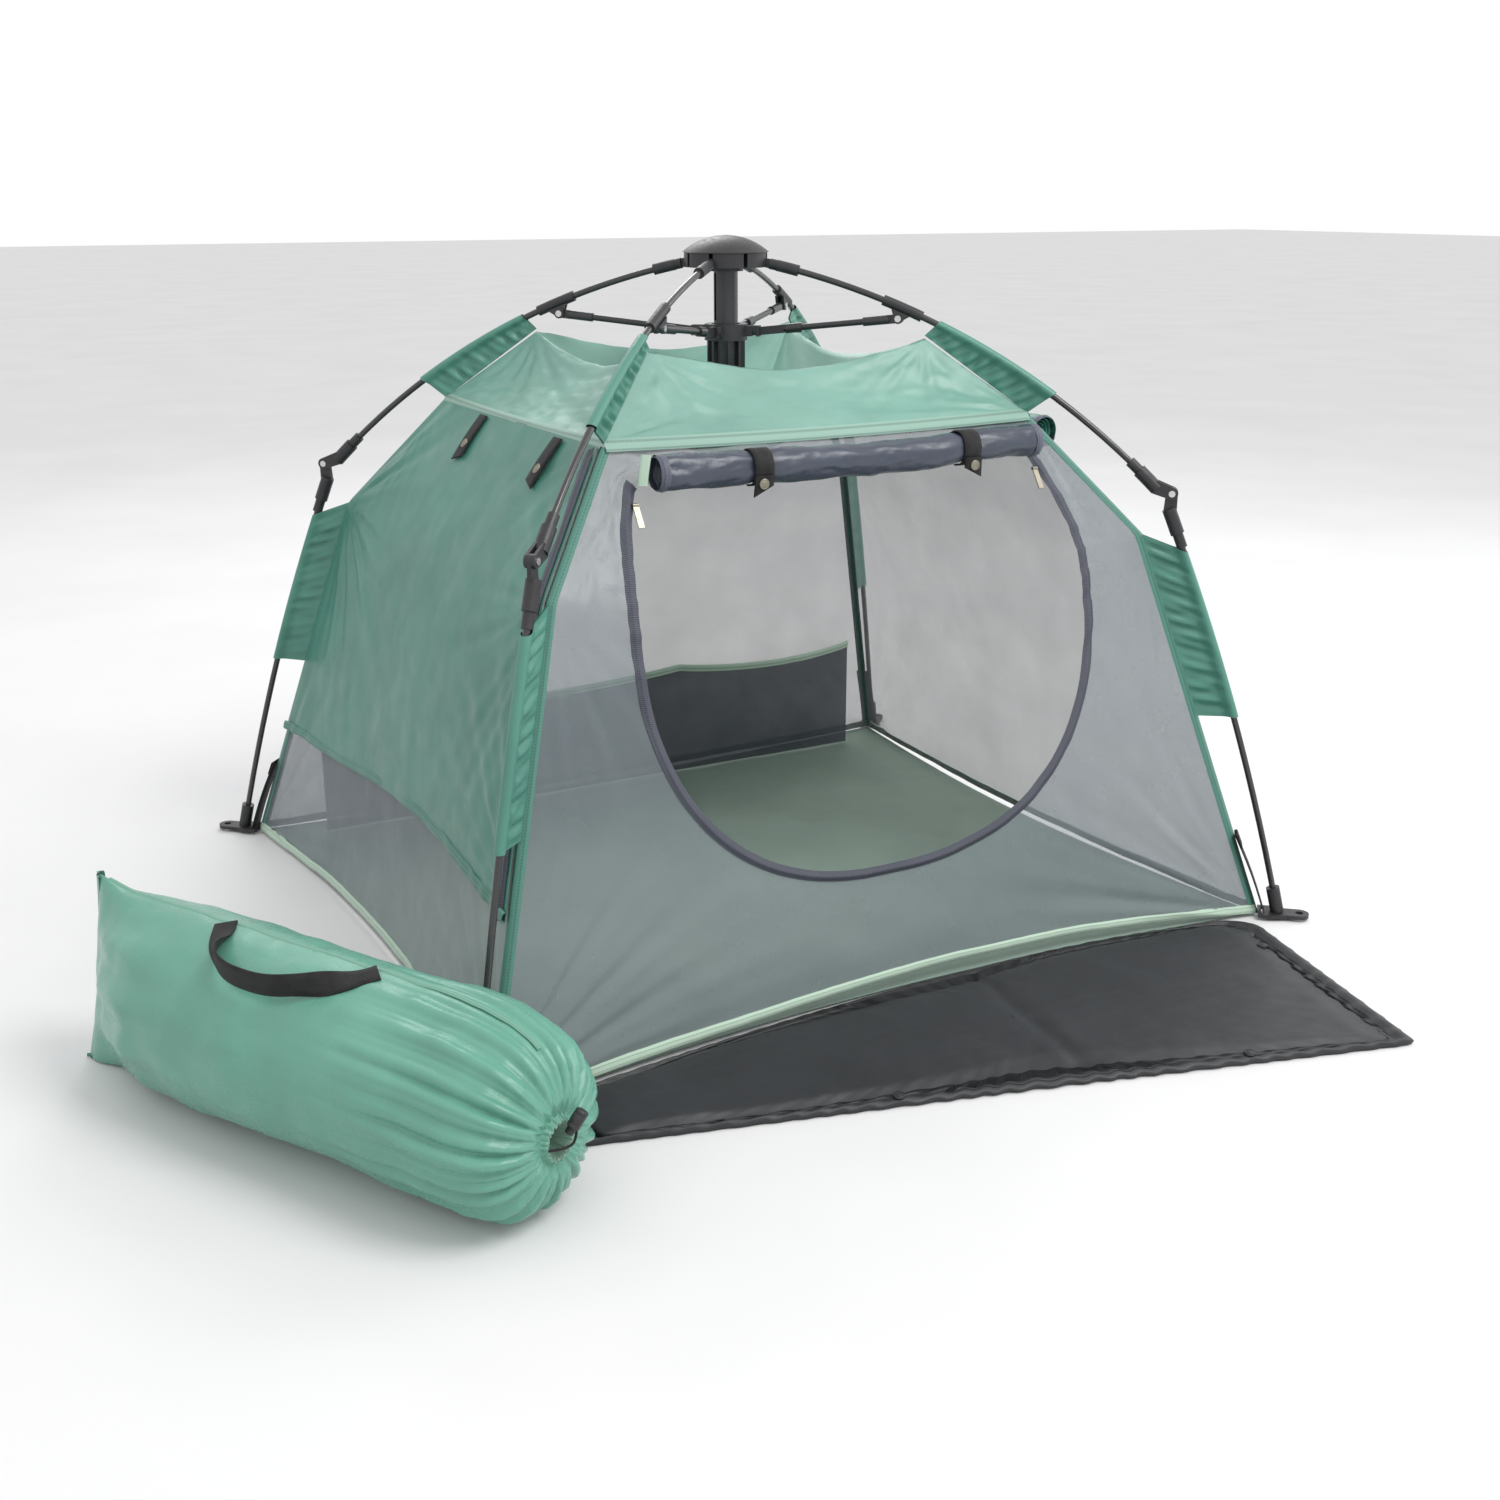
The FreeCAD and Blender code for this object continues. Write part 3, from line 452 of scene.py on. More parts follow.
PALE_BINDING = binding_material("pale_binding", (0.43, 0.57, 0.46))
GREEN_BINDING = binding_material("green_binding", (0.06, 0.2, 0.155))
SLATE_BINDING = binding_material("slate_binding", (0.085, 0.095, 0.13))
EAVE_BAND = binding_material("eave_band", (0.225, 0.375, 0.315))
BAG_BINDING = binding_material("bag_binding", (0.14, 0.33, 0.25))
NYLON = moulded_material("black_nylon", (0.016, 0.016, 0.018), 0.42)
FIBREGLASS = moulded_material("pole_fibreglass", (0.02, 0.02, 0.021), 0.27, grain=90.0, coat=0.4, scuff=0.1)
TUBE = moulded_material("coated_tube", (0.014, 0.014, 0.016), 0.33, coat=0.3)
STEEL = moulded_material("bright_steel", (0.62, 0.62, 0.61), 0.24, metallic=1.0, scuff=0.0)
NICKEL = moulded_material("nickel", (0.24, 0.22, 0.175), 0.42, metallic=1.0, scuff=0.1)


# ---- walls ----

def share(z, soft=0.003):
    """The body's share of the way to the feet at a height. soft rounds its kink at the shoulder."""
    upper = (SHOULDER[0] - EAVE[0]) / (EAVE[1] - SHOULDER[1])
    lower = (HEM[0] - SHOULDER[0]) / (SHOULDER[1] - HEM[1])
    t = SHOULDER[1] - z
    past = np.where(t > soft, t, np.where(t < -soft, 0.0, (t + soft) ** 2 / (4 * soft)))
    return SHOULDER[0] + upper * t + (lower - upper) * past


HEM_BOW = {"front": 0.040, "left": 0.036, "right": 0.034, "back": 0.030}
HEM_LIFT = {"front": 0.017, "left": 0.004, "right": 0.005, "back": 0.004}
WALL_SEED = {"front": 11, "right": 23, "back": 37, "left": 41}


def wall_relief(side, a, z, u, strength=1.0):
    """Outward relief of a wall's cloth: tension folds from its corners and a slow unevenness."""
    seed = WALL_SEED[side]
    half = half_of(side)
    total = 0.0022 * swell(np.stack([a, z], axis=-1), 0.17, seed)
    total = total + 0.0008 * swell(np.stack([a, z * 0.5], axis=-1), 0.05, seed + 1)
    for i, (ring, count, reach, size) in enumerate(
        ((EAVE, 16, 0.15, 0.0022), (SHOULDER, 22, 0.20, 0.0030), (HEM, 26, 0.30, 0.0050))
    ):
        for sign in (-1, 1):
            centre = (sign * half * ring[0], ring[1])
            total = total + size * pleats(a, z, centre, count, reach, seed + 3 * i + sign)
    return strength * total * smooth((1 - np.abs(u)) / 0.10)


def on_wall(side, a, z, out=0.0, relief=1.0):
    """Points on a side's cloth for places in its plane, moved outward by out."""
    a, z, out = np.broadcast_arrays(a, z, out)
    width = half_of(side) * share(z) - SEAM_INSET
    u = np.clip(a / width, -1, 1)
    lean = u - (0.18 if side == "front" else 0.0) * (1 - u * u)
    middle = np.clip(1 - lean * lean, 0, 1) ** 1.2
    down = np.clip((SHOULDER[1] - z) / (SHOULDER[1] - HEM[1]), 0, 1)
    bow = HEM_BOW[side] * middle * down**1.6
    lift = HEM_LIFT[side] * middle * down**5
    away = depth_of(side) * share(z, 0.008 + 0.075 * (1 - u * u)) - bow
    return place(side, a, z + lift, away + out + wall_relief(side, a, z, u, relief))


def wall_edge(side, z):
    return half_of(side) * share(z) - SEAM_INSET


def panel_grid(side, top, bottom, columns, rows):
    """Places in a side's plane from edge to edge: top and bottom are heights, or functions of u."""
    u = np.linspace(-1, 1, columns)[None, :]
    t = np.linspace(0, 1, rows)[:, None]
    low = bottom(u) if callable(bottom) else bottom
    z = top + (low - top) * t
    return np.broadcast_arrays(u * wall_edge(side, z), z)


def metres_uv(a, z):
    return np.stack([a, z], axis=-1).reshape(-1, 2)


def plain_walls():
    for side in ("back", "left", "right"):
        a, z = panel_grid(side, EAVE[1], HEM[1], 97, 81)
        cut_and_fold(
            f"{side}_mesh", side, on_wall(side, a, z).reshape(-1, 3), grid_faces(*a.shape), metres_uv(a, z),
            MESH if side == "left" else FAR_MESH, f"{side}_mesh_wall", ("upper", "lower"),
            on_wall(side, a, z, relief=0.0).reshape(-1, 3),
        )


def door_radius(angle):
    """How far the door's edge stands from its middle, in the front wall's plane."""
    c, s = np.abs(np.cos(angle)), np.abs(np.sin(angle))
    oval = ((c / DOOR_HALF) ** DOOR_POWER + (s / DOOR_RISE) ** DOOR_POWER) ** (-1 / DOOR_POWER)
    level = (DOOR_TOP_Z - DOOR_MID_Z) / np.maximum(np.sin(angle), 1e-6)
    return np.where(np.sin(angle) > 0, np.minimum(oval, level), oval)


def front_outline():
    """The front wall's own edge, as evenly spaced points that hit every corner and the middle."""
    corners = [(0, EAVE[1])]
    corners += [(-wall_edge("front", ring[1]), ring[1]) for ring in (EAVE, SHOULDER, HEM)]
    corners += [(0, HEM[1])]
    corners += [(wall_edge("front", ring[1]), ring[1]) for ring in (HEM, SHOULDER, EAVE)]
    corners += [(0, EAVE[1])]
    points = []
    for (a0, z0), (a1, z1) in zip(corners, corners[1:]):
        steps = max(4, round(math.hypot(a1 - a0, z1 - z0) / 0.011))
        for i in range(steps):
            t = i / steps
            points.append((a0 + (a1 - a0) * t, z0 + (z1 - z0) * t))
    return np.array(points)


def front_wall():
    """The front mesh, woven out from the door's opening to the wall's own edge."""
    edge = front_outline()
    angle = np.arctan2(edge[:, 1] - DOOR_MID_Z, edge[:, 0])
    reach = door_radius(angle)
    door = np.stack([reach * np.cos(angle), DOOR_MID_Z + reach * np.sin(angle)], axis=-1)
    t = np.linspace(0, 1, 34)[:, None, None]
    flat = door[None] + (edge - door)[None] * t
    a, z = flat[..., 0], flat[..., 1]
    faces = grid_faces(*a.shape, wrap=True)[:, ::-1]
    cut_and_fold(
        "front_mesh", "front", on_wall("front", a, z).reshape(-1, 3), faces, metres_uv(a, z), MESH,
        "front_mesh_wall", ("upper", "lower"),
        on_wall("front", a, z, relief=0.0).reshape(-1, 3),
    )


def ribbon_on_wall(name, side, line, profile, material, node, levels=("upper", "lower")):
    """A strip along a line on a wall. profile is (across the line, off the cloth) points."""
    line = np.array(line)
    step = np.gradient(line, axis=0)
    step /= np.linalg.norm(step, axis=1)[:, None]
    across = np.stack([step[:, 1], -step[:, 0]], axis=-1)
    along = np.concatenate([[0], np.cumsum(np.linalg.norm(np.diff(line, axis=0), axis=1))])
    width = np.array([w for w, _ in profile])
    rise = np.array([r for _, r in profile])
    flat = line[:, None, :] + across[:, None, :] * width[None, :, None]
    points = on_wall(side, flat[..., 0], flat[..., 1], out=np.broadcast_to(rise, flat.shape[:2]))
    crosswise = (width - width.min()) / np.ptp(width) if material in (PALE_BINDING, GREEN_BINDING) else width
    uv = np.stack(np.broadcast_arrays(crosswise[None, :], along[:, None]), axis=-1).reshape(-1, 2)
    return cut_and_fold(
        name, side, points.reshape(-1, 3), grid_faces(*points.shape[:2]), uv, material, node, levels
    )


ZIP_PROFILE = (
    (-0.0062, 0.0002), (-0.0060, 0.0014), (-0.0022, 0.0016), (-0.0016, 0.0032),
    (0.0016, 0.0032), (0.0022, 0.0016), (0.0060, 0.0014), (0.0062, 0.0002),
)
BINDING_PROFILE = (
    (-0.0055, 0.0), (-0.0053, 0.0022), (-0.002, 0.0030), (0.002, 0.0030), (0.0053, 0.0022), (0.0055, 0.0),
)


def door_zip():
    start = math.asin((DOOR_TOP_Z - DOOR_MID_Z) / 0.3065)
    angle = np.linspace(math.pi - start, 2 * math.pi + start, 230)
    reach = door_radius(angle) + 0.003
    line = np.stack([reach * np.cos(angle), DOOR_MID_Z + reach * np.sin(angle)], axis=-1)
    ribbon_on_wall("door_zip", "front", line, ZIP_PROFILE, ZIP, "zippers")


def hem_bindings():
    for side in SIDES:
        z = np.full(140, HEM[1] + 0.006)
        a = np.linspace(-1, 1, 140) * wall_edge(side, HEM[1])
        ribbon_on_wall(
            f"{side}_hem", side, np.stack([a, z], axis=-1), BINDING_PROFILE, PALE_BINDING,
            f"{side}_mesh_wall", ("lower",),
        )


def corner_bindings():
    """The tape over each corner seam, from the eave to the hem."""
    for arm, (sx, sy) in ARMS.items():
        upper_part = np.linspace(EAVE[1], SHOULDER[1], 40)
        heights = np.concatenate([upper_part, np.linspace(SHOULDER[1], HEM[1], 90)[1:]])
        ring = share(heights)
        corner = np.stack([sx * FOOT_X * ring, sy * FOOT_Y * ring, heights], axis=-1)
        on_front = np.array([-sx, 0.0, 0.0])
        on_side = np.array([0.0, -sy, 0.0])
        out = np.array([sx, sy, 0.0]) / math.sqrt(2)
        rows = []
        for toward, width in (
            (on_front, 0.009), (on_front, 0.0085), (None, 0.0), (on_side, 0.0085), (on_side, 0.009),
        ):
            rise = {0.009: 0.0, 0.0085: 0.0022, 0.0: 0.0028}[width]
            rows.append(corner + (0 if toward is None else toward * width) + out * rise)
        points = np.stack(rows, axis=1)
        v = np.broadcast_to(heights[:, None], points.shape[:2])
        u = np.broadcast_to(np.array([0.0, 0.1, 0.5, 0.9, 1.0])[None], points.shape[:2])
        piece = grid_piece(f"{arm}_corner_binding", points, GREEN_BINDING, np.stack([u, v], axis=-1))
        stands_for("pole_sleeves")
        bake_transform(piece)


# ---- sun cover ----

def cover_hem(u):
    """The cover's lower edge: lower at the back, with a slow wave. u is -1 at the back."""
    return 0.188 + 0.013 * u + 0.006 * np.sin(4.2 * u + 1.0) - 0.010 * np.abs(u) ** 6


def cover_stand(u, t):
    """How far the cover stands off the mesh: it hangs freer toward its hem."""
    return COVER_STAND + 0.004 * t**2 * (1 - u**2)


def sun_cover():
    a, z = panel_grid("left", EAVE[1], cover_hem, 121, 91)
    u = a / wall_edge("left", z)
    t = np.linspace(0, 1, 91)[:, None]
    grid = np.stack([a, z], axis=-1)
    creases = 0.0026 * swell(grid * np.array([1.0, 0.7]), 0.30, 71) + 0.0008 * swell(grid, 0.12, 72)
    radiate = 0.0032 * pleats(a, z, (wall_edge("left", 0.496), 0.496), 18, 0.24, 73)
    radiate = radiate + 0.0030 * pleats(a, z, (wall_edge("left", 0.20), 0.20), 22, 0.26, 74)
    radiate = radiate + 0.0032 * pleats(a, z, (-wall_edge("left", 0.496), 0.496), 18, 0.24, 75)
    fade = smooth((1 - np.abs(u)) / 0.06)
    points = on_wall("left", a, z, cover_stand(u, t) + fade * (creases + radiate), relief=0.6)
    plain = on_wall("left", a, z, cover_stand(u, t), relief=0.0)
    cut_and_fold(
        "sun_cover", "left", points.reshape(-1, 3), grid_faces(*a.shape), metres_uv(a, z), COVER,
        "left_sun_cover", ("upper", "lower"), plain.reshape(-1, 3),
    )
    place_along = np.linspace(-1, 1, 150)
    hem_z = cover_hem(place_along)
    line = np.stack([place_along * wall_edge("left", hem_z), hem_z + 0.006], axis=-1)
    raised = tuple((w, r + COVER_STAND + 0.0018) for w, r in BINDING_PROFILE)
    ribbon_on_wall(
        "cover_hem", "left", line, raised, GREEN_BINDING, "left_sun_cover", ("lower",)
    )


def cover_zip():
    heights = np.linspace(EAVE[1] - 0.004, 0.185, 120)
    line = np.stack([half_of("left") * share(heights) - 0.016, heights], axis=-1)
    raised = tuple((w, r + COVER_STAND + 0.001) for w, r in ZIP_PROFILE)
    ribbon_on_wall("cover_zip", "left", line, raised, ZIP, "zippers")


# ---- roof ----

GORE_FALL = 0.17  # from a gore's ridge to the eave, along the cloth


def roof():
    """Four gores from the sagging crests down to the eave, with the bowl they leave in the middle."""
    rows_in, rows_out = 30, 44
    u = np.linspace(-1, 1, 101)[None, :]
    arch = np.abs(u) ** 1.7
    for side in SIDES:
        seed = WALL_SEED[side] + 100
        half, depth = half_of(side), depth_of(side)
        crest_share = CREST_MID[0] + (PEAK[0] - CREST_MID[0]) * arch
        crest_z = CREST_MID[1] + (PEAK[1] - CREST_MID[1]) * arch
        t = np.linspace(0, 1, rows_out)[:, None]
        ridge = PEAK[0] + (EAVE[0] - PEAK[0]) * t
        hang = (1 - u**2) * np.sin(math.pi * t)
        a_out = u * half * ridge
        out_out = depth * (crest_share + (EAVE[0] - crest_share) * t) - 0.004 * hang
        z_out = crest_z + (EAVE[1] + 0.0035 - 0.004 * (1 - u**2) - crest_z) * t - 0.007 * hang
        s = np.linspace(0.03, 1, rows_in)[:-1, None]
        a_in = u * half * PEAK[0] * s
        out_in = depth * crest_share * s
        z_in = BOWL_Z + (crest_z - BOWL_Z) * s**1.5
        a, out, z = (np.concatenate(pair) for pair in ((a_in, a_out), (out_in, out_out), (z_in, z_out)))
        steps = np.broadcast_to(np.concatenate([s - 1, t]), a.shape)
        down = steps * GORE_FALL
        grid = np.stack([a, down], axis=-1)
        fold_lines = swell(grid * np.array([0.8, 2.4]), 0.20, seed)
        fold_lines = fold_lines + 0.45 * swell(grid * np.array([1.0, 1.4]), 0.07, seed + 1)
        at_eave, at_peak = half * EAVE[0], half * PEAK[0]
        corner = sum(pleats(a, down, (k * at_eave, GORE_FALL), 15, 0.16, seed + 2 + k) for k in (-1, 1))
        corner = corner + sum(pleats(a, down, (k * at_peak, 0.0), 13, 0.12, seed + 6 + k) for k in (-1, 1))
        fade = smooth((1 - np.abs(u)) / 0.12) * smooth(np.clip((1.0 - steps) / 0.12, 0, 1))
        fade = fade * smooth((steps + 1) / 0.3)
        relief = (0.0032 * fold_lines + 0.0030 * corner) * fade
        points = place(side, a, z + relief, out + 0.5 * relief)
        plain = place(side, a, z, out)
        cut_and_fold(
            f"{side}_roof", side, points.reshape(-1, 3), grid_faces(*a.shape)[:, ::-1], metres_uv(a, down),
            ROOF, "roof_panel", ("roof",), plain.reshape(-1, 3),
        )


def eave_bindings():
    """The roof's sewn lower edge: a flat band over the wall's top, double stitched."""
    for side in SIDES:
        a = np.linspace(-1, 1, 120)[:, None] * half_of(side) * EAVE[0]
        u = a / (half_of(side) * EAVE[0])
        rise = np.array([0.0050, 0.0036, -0.0030, -0.0078, -0.0080])[None, :]
        out = np.array([-0.0050, -0.0012, 0.0040, 0.0075, 0.0050])[None, :]
        sag = 0.004 * (1 - u**2)
        points = place(side, a, EAVE[1] + 0.0035 + rise - sag, depth_of(side) * EAVE[0] + out)
        uv = np.stack(np.broadcast_arrays(np.array([0.0, 0.2, 0.5, 0.9, 1.0])[None], a), axis=-1)
        faces = grid_faces(*points.shape[:2])[:, ::-1]
        cut_and_fold(
            f"{side}_eave", side, points.reshape(-1, 3), faces, uv.reshape(-1, 2),
            EAVE_BAND, "roof_panel", ("roof",),
        )


# ---- pole sleeves ----

class Bend:
    """A round bend in an arm's plane, as in the CAD source."""

    def __init__(self, start, end, radius):
        start, end = np.array(start), np.array(end)
        chord = np.linalg.norm(end - start)
        d = (end - start) / chord
        sink = math.sqrt(radius**2 - (chord / 2) ** 2)
        self.radius = radius
        self.centre = (start + end) / 2 + sink * np.array([d[1], -d[0]])
        self.first = math.atan2(start[1] - self.centre[1], start[0] - self.centre[0])

    def at_distance(self, x):
        return (self.first - math.acos((x - self.centre[0]) / self.radius)) * self.radius

    def point(self, s, out=0.0):
        angle = self.first - np.asarray(s) / self.radius
        r = self.radius + out
        return np.stack([self.centre[0] + r * np.cos(angle), self.centre[1] + r * np.sin(angle)], axis=-1)


ROD = Bend(CROWN_PIN, KNEE_LINE, ROD_BEND)
LEG = Bend(KNEE_LINE, FOOT_POINT, LEG_BEND)


def in_arm_plane(arm, points):
    """(out, across, up) points of an arm's plane, turned to that arm."""
    sx, sy = ARMS[arm]
    c, s = sx * FOOT_X / REACH, sy * FOOT_Y / REACH
    x, y, z = points[..., 0], points[..., 1], points[..., 2]
    return np.stack([c * x - s * y, s * x + c * y, z], axis=-1)


def sleeve(name, arm, bend, span, inner, body, seed):
    """A doubled fin of cloth from a seam out to the pole, and round it."""
    rows = 60
    t = np.linspace(0, 1, rows)
    s0, s1 = (bend.at_distance(x) for x in span)
    edge = bend.point(s0 + (s1 - s0) * t)
    inner = np.array(inner[0])[None] * (1 - t)[:, None] + np.array(inner[1])[None] * t[:, None]
    reach = edge - inner
    long = np.linalg.norm(reach, axis=1)
    way = reach / long[:, None]
    wrap = np.linspace(-0.5, 0.5, 9) * math.pi
    pipe = 0.0062
    rng = np.random.default_rng(seed)
    columns = []
    for share_in in np.linspace(0, 1, 12)[:-1]:
        columns.append((share_in, None, -1))
    columns += [(None, angle, 0) for angle in wrap]
    columns += [(share_in, None, 1) for share_in in np.linspace(0, 1, 12)[:-1][::-1]]
    phase = rng.uniform(0, 6.28, 4)
    metre = t * np.linalg.norm(edge[-1] - edge[0])
    points, uv = [], []
    for index, (share_in, angle, face) in enumerate(columns):
        if share_in is None:
            far = long + pipe * math.cos(angle)
            level = np.full(rows, pipe * math.sin(angle))
            spread = 1.0
        else:
            far = long * share_in
            thick = 0.0010 + 0.0052 * smooth((share_in - 0.72) / 0.28)
            level = np.full(rows, face * thick)
            spread = share_in
        sway = 1.6 * np.sin(2 * math.pi * metre / 0.09 + phase[1])
        wrinkle = 0.0024 * np.sin(2 * math.pi * metre / 0.026 + phase[0] + sway + 2.2 * spread)
        wrinkle += 0.0016 * np.sin(2 * math.pi * metre / 0.014 + phase[2] - 3.0 * spread)
        middle = math.sin(math.pi * min(spread, 1.0) ** 0.8)
        level = level + wrinkle * middle * smooth(np.minimum(t, 1 - t) / 0.06)
        flat = inner + way * far[:, None]
        points.append(np.stack([flat[:, 0], level, flat[:, 1]], axis=-1))
        uv.append(np.stack([np.full(rows, index * 0.005), metre], axis=-1))
    grid = in_arm_plane(arm, np.stack(points, axis=1))
    piece = grid_piece(name, grid, SLEEVE, np.stack(uv, axis=1))
    stands_for("pole_sleeves")
    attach(piece, body)
    return piece


UPPER_SLEEVE_SPAN = (0.2666, 0.411)
LOWER_SLEEVE_SPAN = (0.5806, 0.6584)
LOWER_SLEEVE_FOOT_Z = 0.2666


def ring_point(share_out, z):
    return (float(share_out) * REACH, z)


def pole_sleeves():
    seam_foot = ring_point(share(LOWER_SLEEVE_FOOT_Z) + 0.002, LOWER_SLEEVE_FOOT_Z)
    for i, arm in enumerate(ARMS):
        top = (ring_point(PEAK[0], PEAK[1] + 0.0035), ring_point(EAVE[0], EAVE[1] + 0.0035))
        sleeve(f"{arm}_upper_sleeve", arm, ROD, UPPER_SLEEVE_SPAN, top, f"arm_{arm}", 300 + i)
        side = (ring_point(SHOULDER[0] + 0.002, SHOULDER[1]), seam_foot)
        sleeve(f"{arm}_lower_sleeve", arm, LEG, LOWER_SLEEVE_SPAN, side, f"leg_{arm}", 320 + i)


# ---- rolled panels, their ties, and the cover's ties ----

def roll_axis(side):
    """Where a rolled panel's axis stands on that side: (distance out, height)."""
    depth = depth_of(side)
    rise = EAVE[1] - SHOULDER[1]
    run = depth * (SHOULDER[0] - EAVE[0])
    return depth * float(share(ROLL_Z)) + ROLL_STAND * math.hypot(rise, run) / rise, ROLL_Z


ROLLS = {"front": (-0.246, 0.262), "back": (-0.240, 0.262), "right": (-0.226, 0.220)}


def roll_surface(side, a, angle, radius):
    """Points round a roll's axis. It hangs a little between its ties."""
    out, z = roll_axis(side)
    low, high = ROLLS[side]
    t = (a - low) / (high - low)
    sag = 0.004 * np.sin(math.pi * t) ** 2 - 0.003 * t if side == "front" else 0.003 * np.sin(math.pi * t)
    return place(side, a, z - sag + radius * np.sin(angle), out + radius * np.cos(angle))


def outer_slack(angle):
    """The outer turn hangs a little loose on the side away from the wall."""
    return 0.0028 * np.clip(0.35 + np.cos(angle), 0, 1)


def rolled_panel(side, material, seed):
    """A panel rolled up: its outer turn, pinched at the ties, and at each end the open turns of cloth."""
    low, high = ROLLS[side]
    rows, columns = 130, 56
    a = np.linspace(low, high, rows)[:, None]
    angle = np.linspace(0, 2 * math.pi, columns, endpoint=False)[None, :]
    around = np.stack(np.broadcast_arrays(a * 0.6, 0.05 * np.cos(angle), 0.05 * np.sin(angle)), axis=-1)
    wrinkle = 0.0026 * swell(around, 0.07, seed)
    wrinkle = wrinkle + 0.0012 * swell(around * np.array([2.2, 1, 1]), 0.045, seed + 1)
    spiral = 0.0006 * np.sin(3 * angle + 14 * a)
    pinch = np.zeros_like(a)
    if side == "front":
        for x in DOOR_TIES:
            pinch = pinch + 0.0032 * np.exp(-(((a - x) / 0.018) ** 2))
    ends = 0.0012 * (smooth((low + 0.02 - a) / 0.02) + smooth((a - high + 0.02) / 0.02))
    radius = ROLL_R - 0.0016 + outer_slack(angle) + wrinkle + spiral - pinch - ends
    points = roll_surface(side, *np.broadcast_arrays(a, angle), radius)
    uv = np.stack(np.broadcast_arrays(a, angle * ROLL_R), axis=-1)
    cut_and_fold(
        f"{side}_roll", side, points.reshape(-1, 3), grid_faces(rows, columns, wrap=True), uv.reshape(-1, 2),
        material, "rolled_panels", ("roof",),
    )
    turns(side, low, -1, material, seed)
    turns(side, high, 1, material, seed + 5)


def turns(side, at, sign, material, seed):
    """The spiral edge of the rolled cloth at one end, sunk toward the middle like a scroll."""
    rng = np.random.default_rng(seed)
    steps = 260
    t = np.linspace(0, 1, steps)
    angle = 2 * math.pi * 4.2 * t + rng.uniform(0, 6.28)
    radius = 0.0035 + (ROLL_R - 0.0056) * t
    inward = -sign * (0.004 + 0.010 * (1 - t)) + 0.0008 * np.sin(5 * angle)
    rows = []
    for depth, grow in ((0.0, 0.0), (0.0, 0.0007), (-0.014, 0.0007), (-0.014, 0.0)):
        rows.append(roll_surface(side, at + inward + sign * depth, angle, radius + grow))
    points = np.stack(rows, axis=1)
    uv = np.stack(np.broadcast_arrays(np.array([0, 0.001, 0.012, 0.013])[None], (t * 0.3)[:, None]), axis=-1)
    end = "left" if sign < 0 else "right"
    piece = grid_piece(f"{side}_roll_turns_{end}", points, material, uv, wrap=True)
    stands_for("rolled_panels")
    fold(piece, side, sign, "roof")
    edge = np.linspace(0, 2 * math.pi, 57)[:-1]
    collar = []
    for along, under in ((0.001, 0.0030), (-0.0002, 0.0018), (-0.005, 0.0004), (-0.0095, 0.0012)):
        r = ROLL_R - under + outer_slack(edge)
        collar.append(roll_surface(side, np.full_like(edge, at + sign * along), edge, r))
    ring = np.stack(collar, axis=0)
    across = np.array([0.0, 0.1, 0.5, 1.0])[:, None]
    uv = np.stack(np.broadcast_arrays(across, (edge * ROLL_R)[None]), axis=-1)
    rim = grid_piece(f"{side}_roll_rim_{end}", ring, SLATE_BINDING, uv, wrap=True)
    stands_for("rolled_panels")
    fold(rim, side, sign, "roof")


def strap_piece(name, centre, across, normal, node, thickness=0.0013, tail_cut=0.0):
    """Webbing along a line of points, with its width across it. tail_cut slants its last end."""
    centre = np.array(centre)
    step = np.gradient(centre, axis=0)
    step /= np.linalg.norm(step, axis=1)[:, None]
    across = np.broadcast_to(np.array(across, float), centre.shape)
    normal = np.broadcast_to(np.array(normal, float), centre.shape)
    along = np.concatenate([[0], np.cumsum(np.linalg.norm(np.diff(centre, axis=0), axis=1))])
    late = smooth((along - along[-1] + 0.016) / 0.016)[:, None]
    rows, uv = [], []
    raised = [(w, thickness) for w in (-0.97, -0.4, 0.4, 0.97)]
    for w, lift in ((-1, 0.0), *raised, (1, 0.0)):
        shift = late * tail_cut * w * 0.5
        rows.append(centre + across * WEB_HALF * w + normal * lift + step * shift)
        uv.append(np.stack([np.full(len(along), w * WEB_HALF), along], axis=-1))
    under = [
        centre + across * WEB_HALF * w - normal * 0.0002 + step * late * tail_cut * w * 0.5
        for w in (1, -1)
    ]
    points = np.stack(rows + under, axis=1)
    uv += [uv[-1], uv[0]]
    piece = grid_piece(name, points, WEBBING, np.stack(uv, axis=1), wrap=True)
    stands_for(node)
    return piece


def snap(name, centre, normal, node="webbing_straps", radius=0.0062):
    """A press stud's cap: a low dome with a rolled rim."""
    profile = (
        (0.0, 0.0022), (0.35, 0.0021), (0.62, 0.0015), (0.74, 0.0012), (0.86, 0.0019), (1.0, 0.0012),
        (1.0, -0.0006),
    )
    normal = Vector(normal).normalized()
    side_way = normal.orthogonal().normalized()
    other = normal.cross(side_way)
    angle = np.linspace(0, 2 * math.pi, 28, endpoint=False)
    rows = []
    for share_out, rise in profile:
        r = max(radius * share_out, 0.00002)
        rows.append([
            Vector(centre) + side_way * r * math.cos(a) + other * r * math.sin(a) + normal * rise
            for a in angle
        ])
    points = np.array([[list(p) for p in row] for row in rows])
    uv = points[..., :2]
    piece = grid_piece(name, points, NICKEL, uv, wrap=True)
    stands_for(node)
    return piece


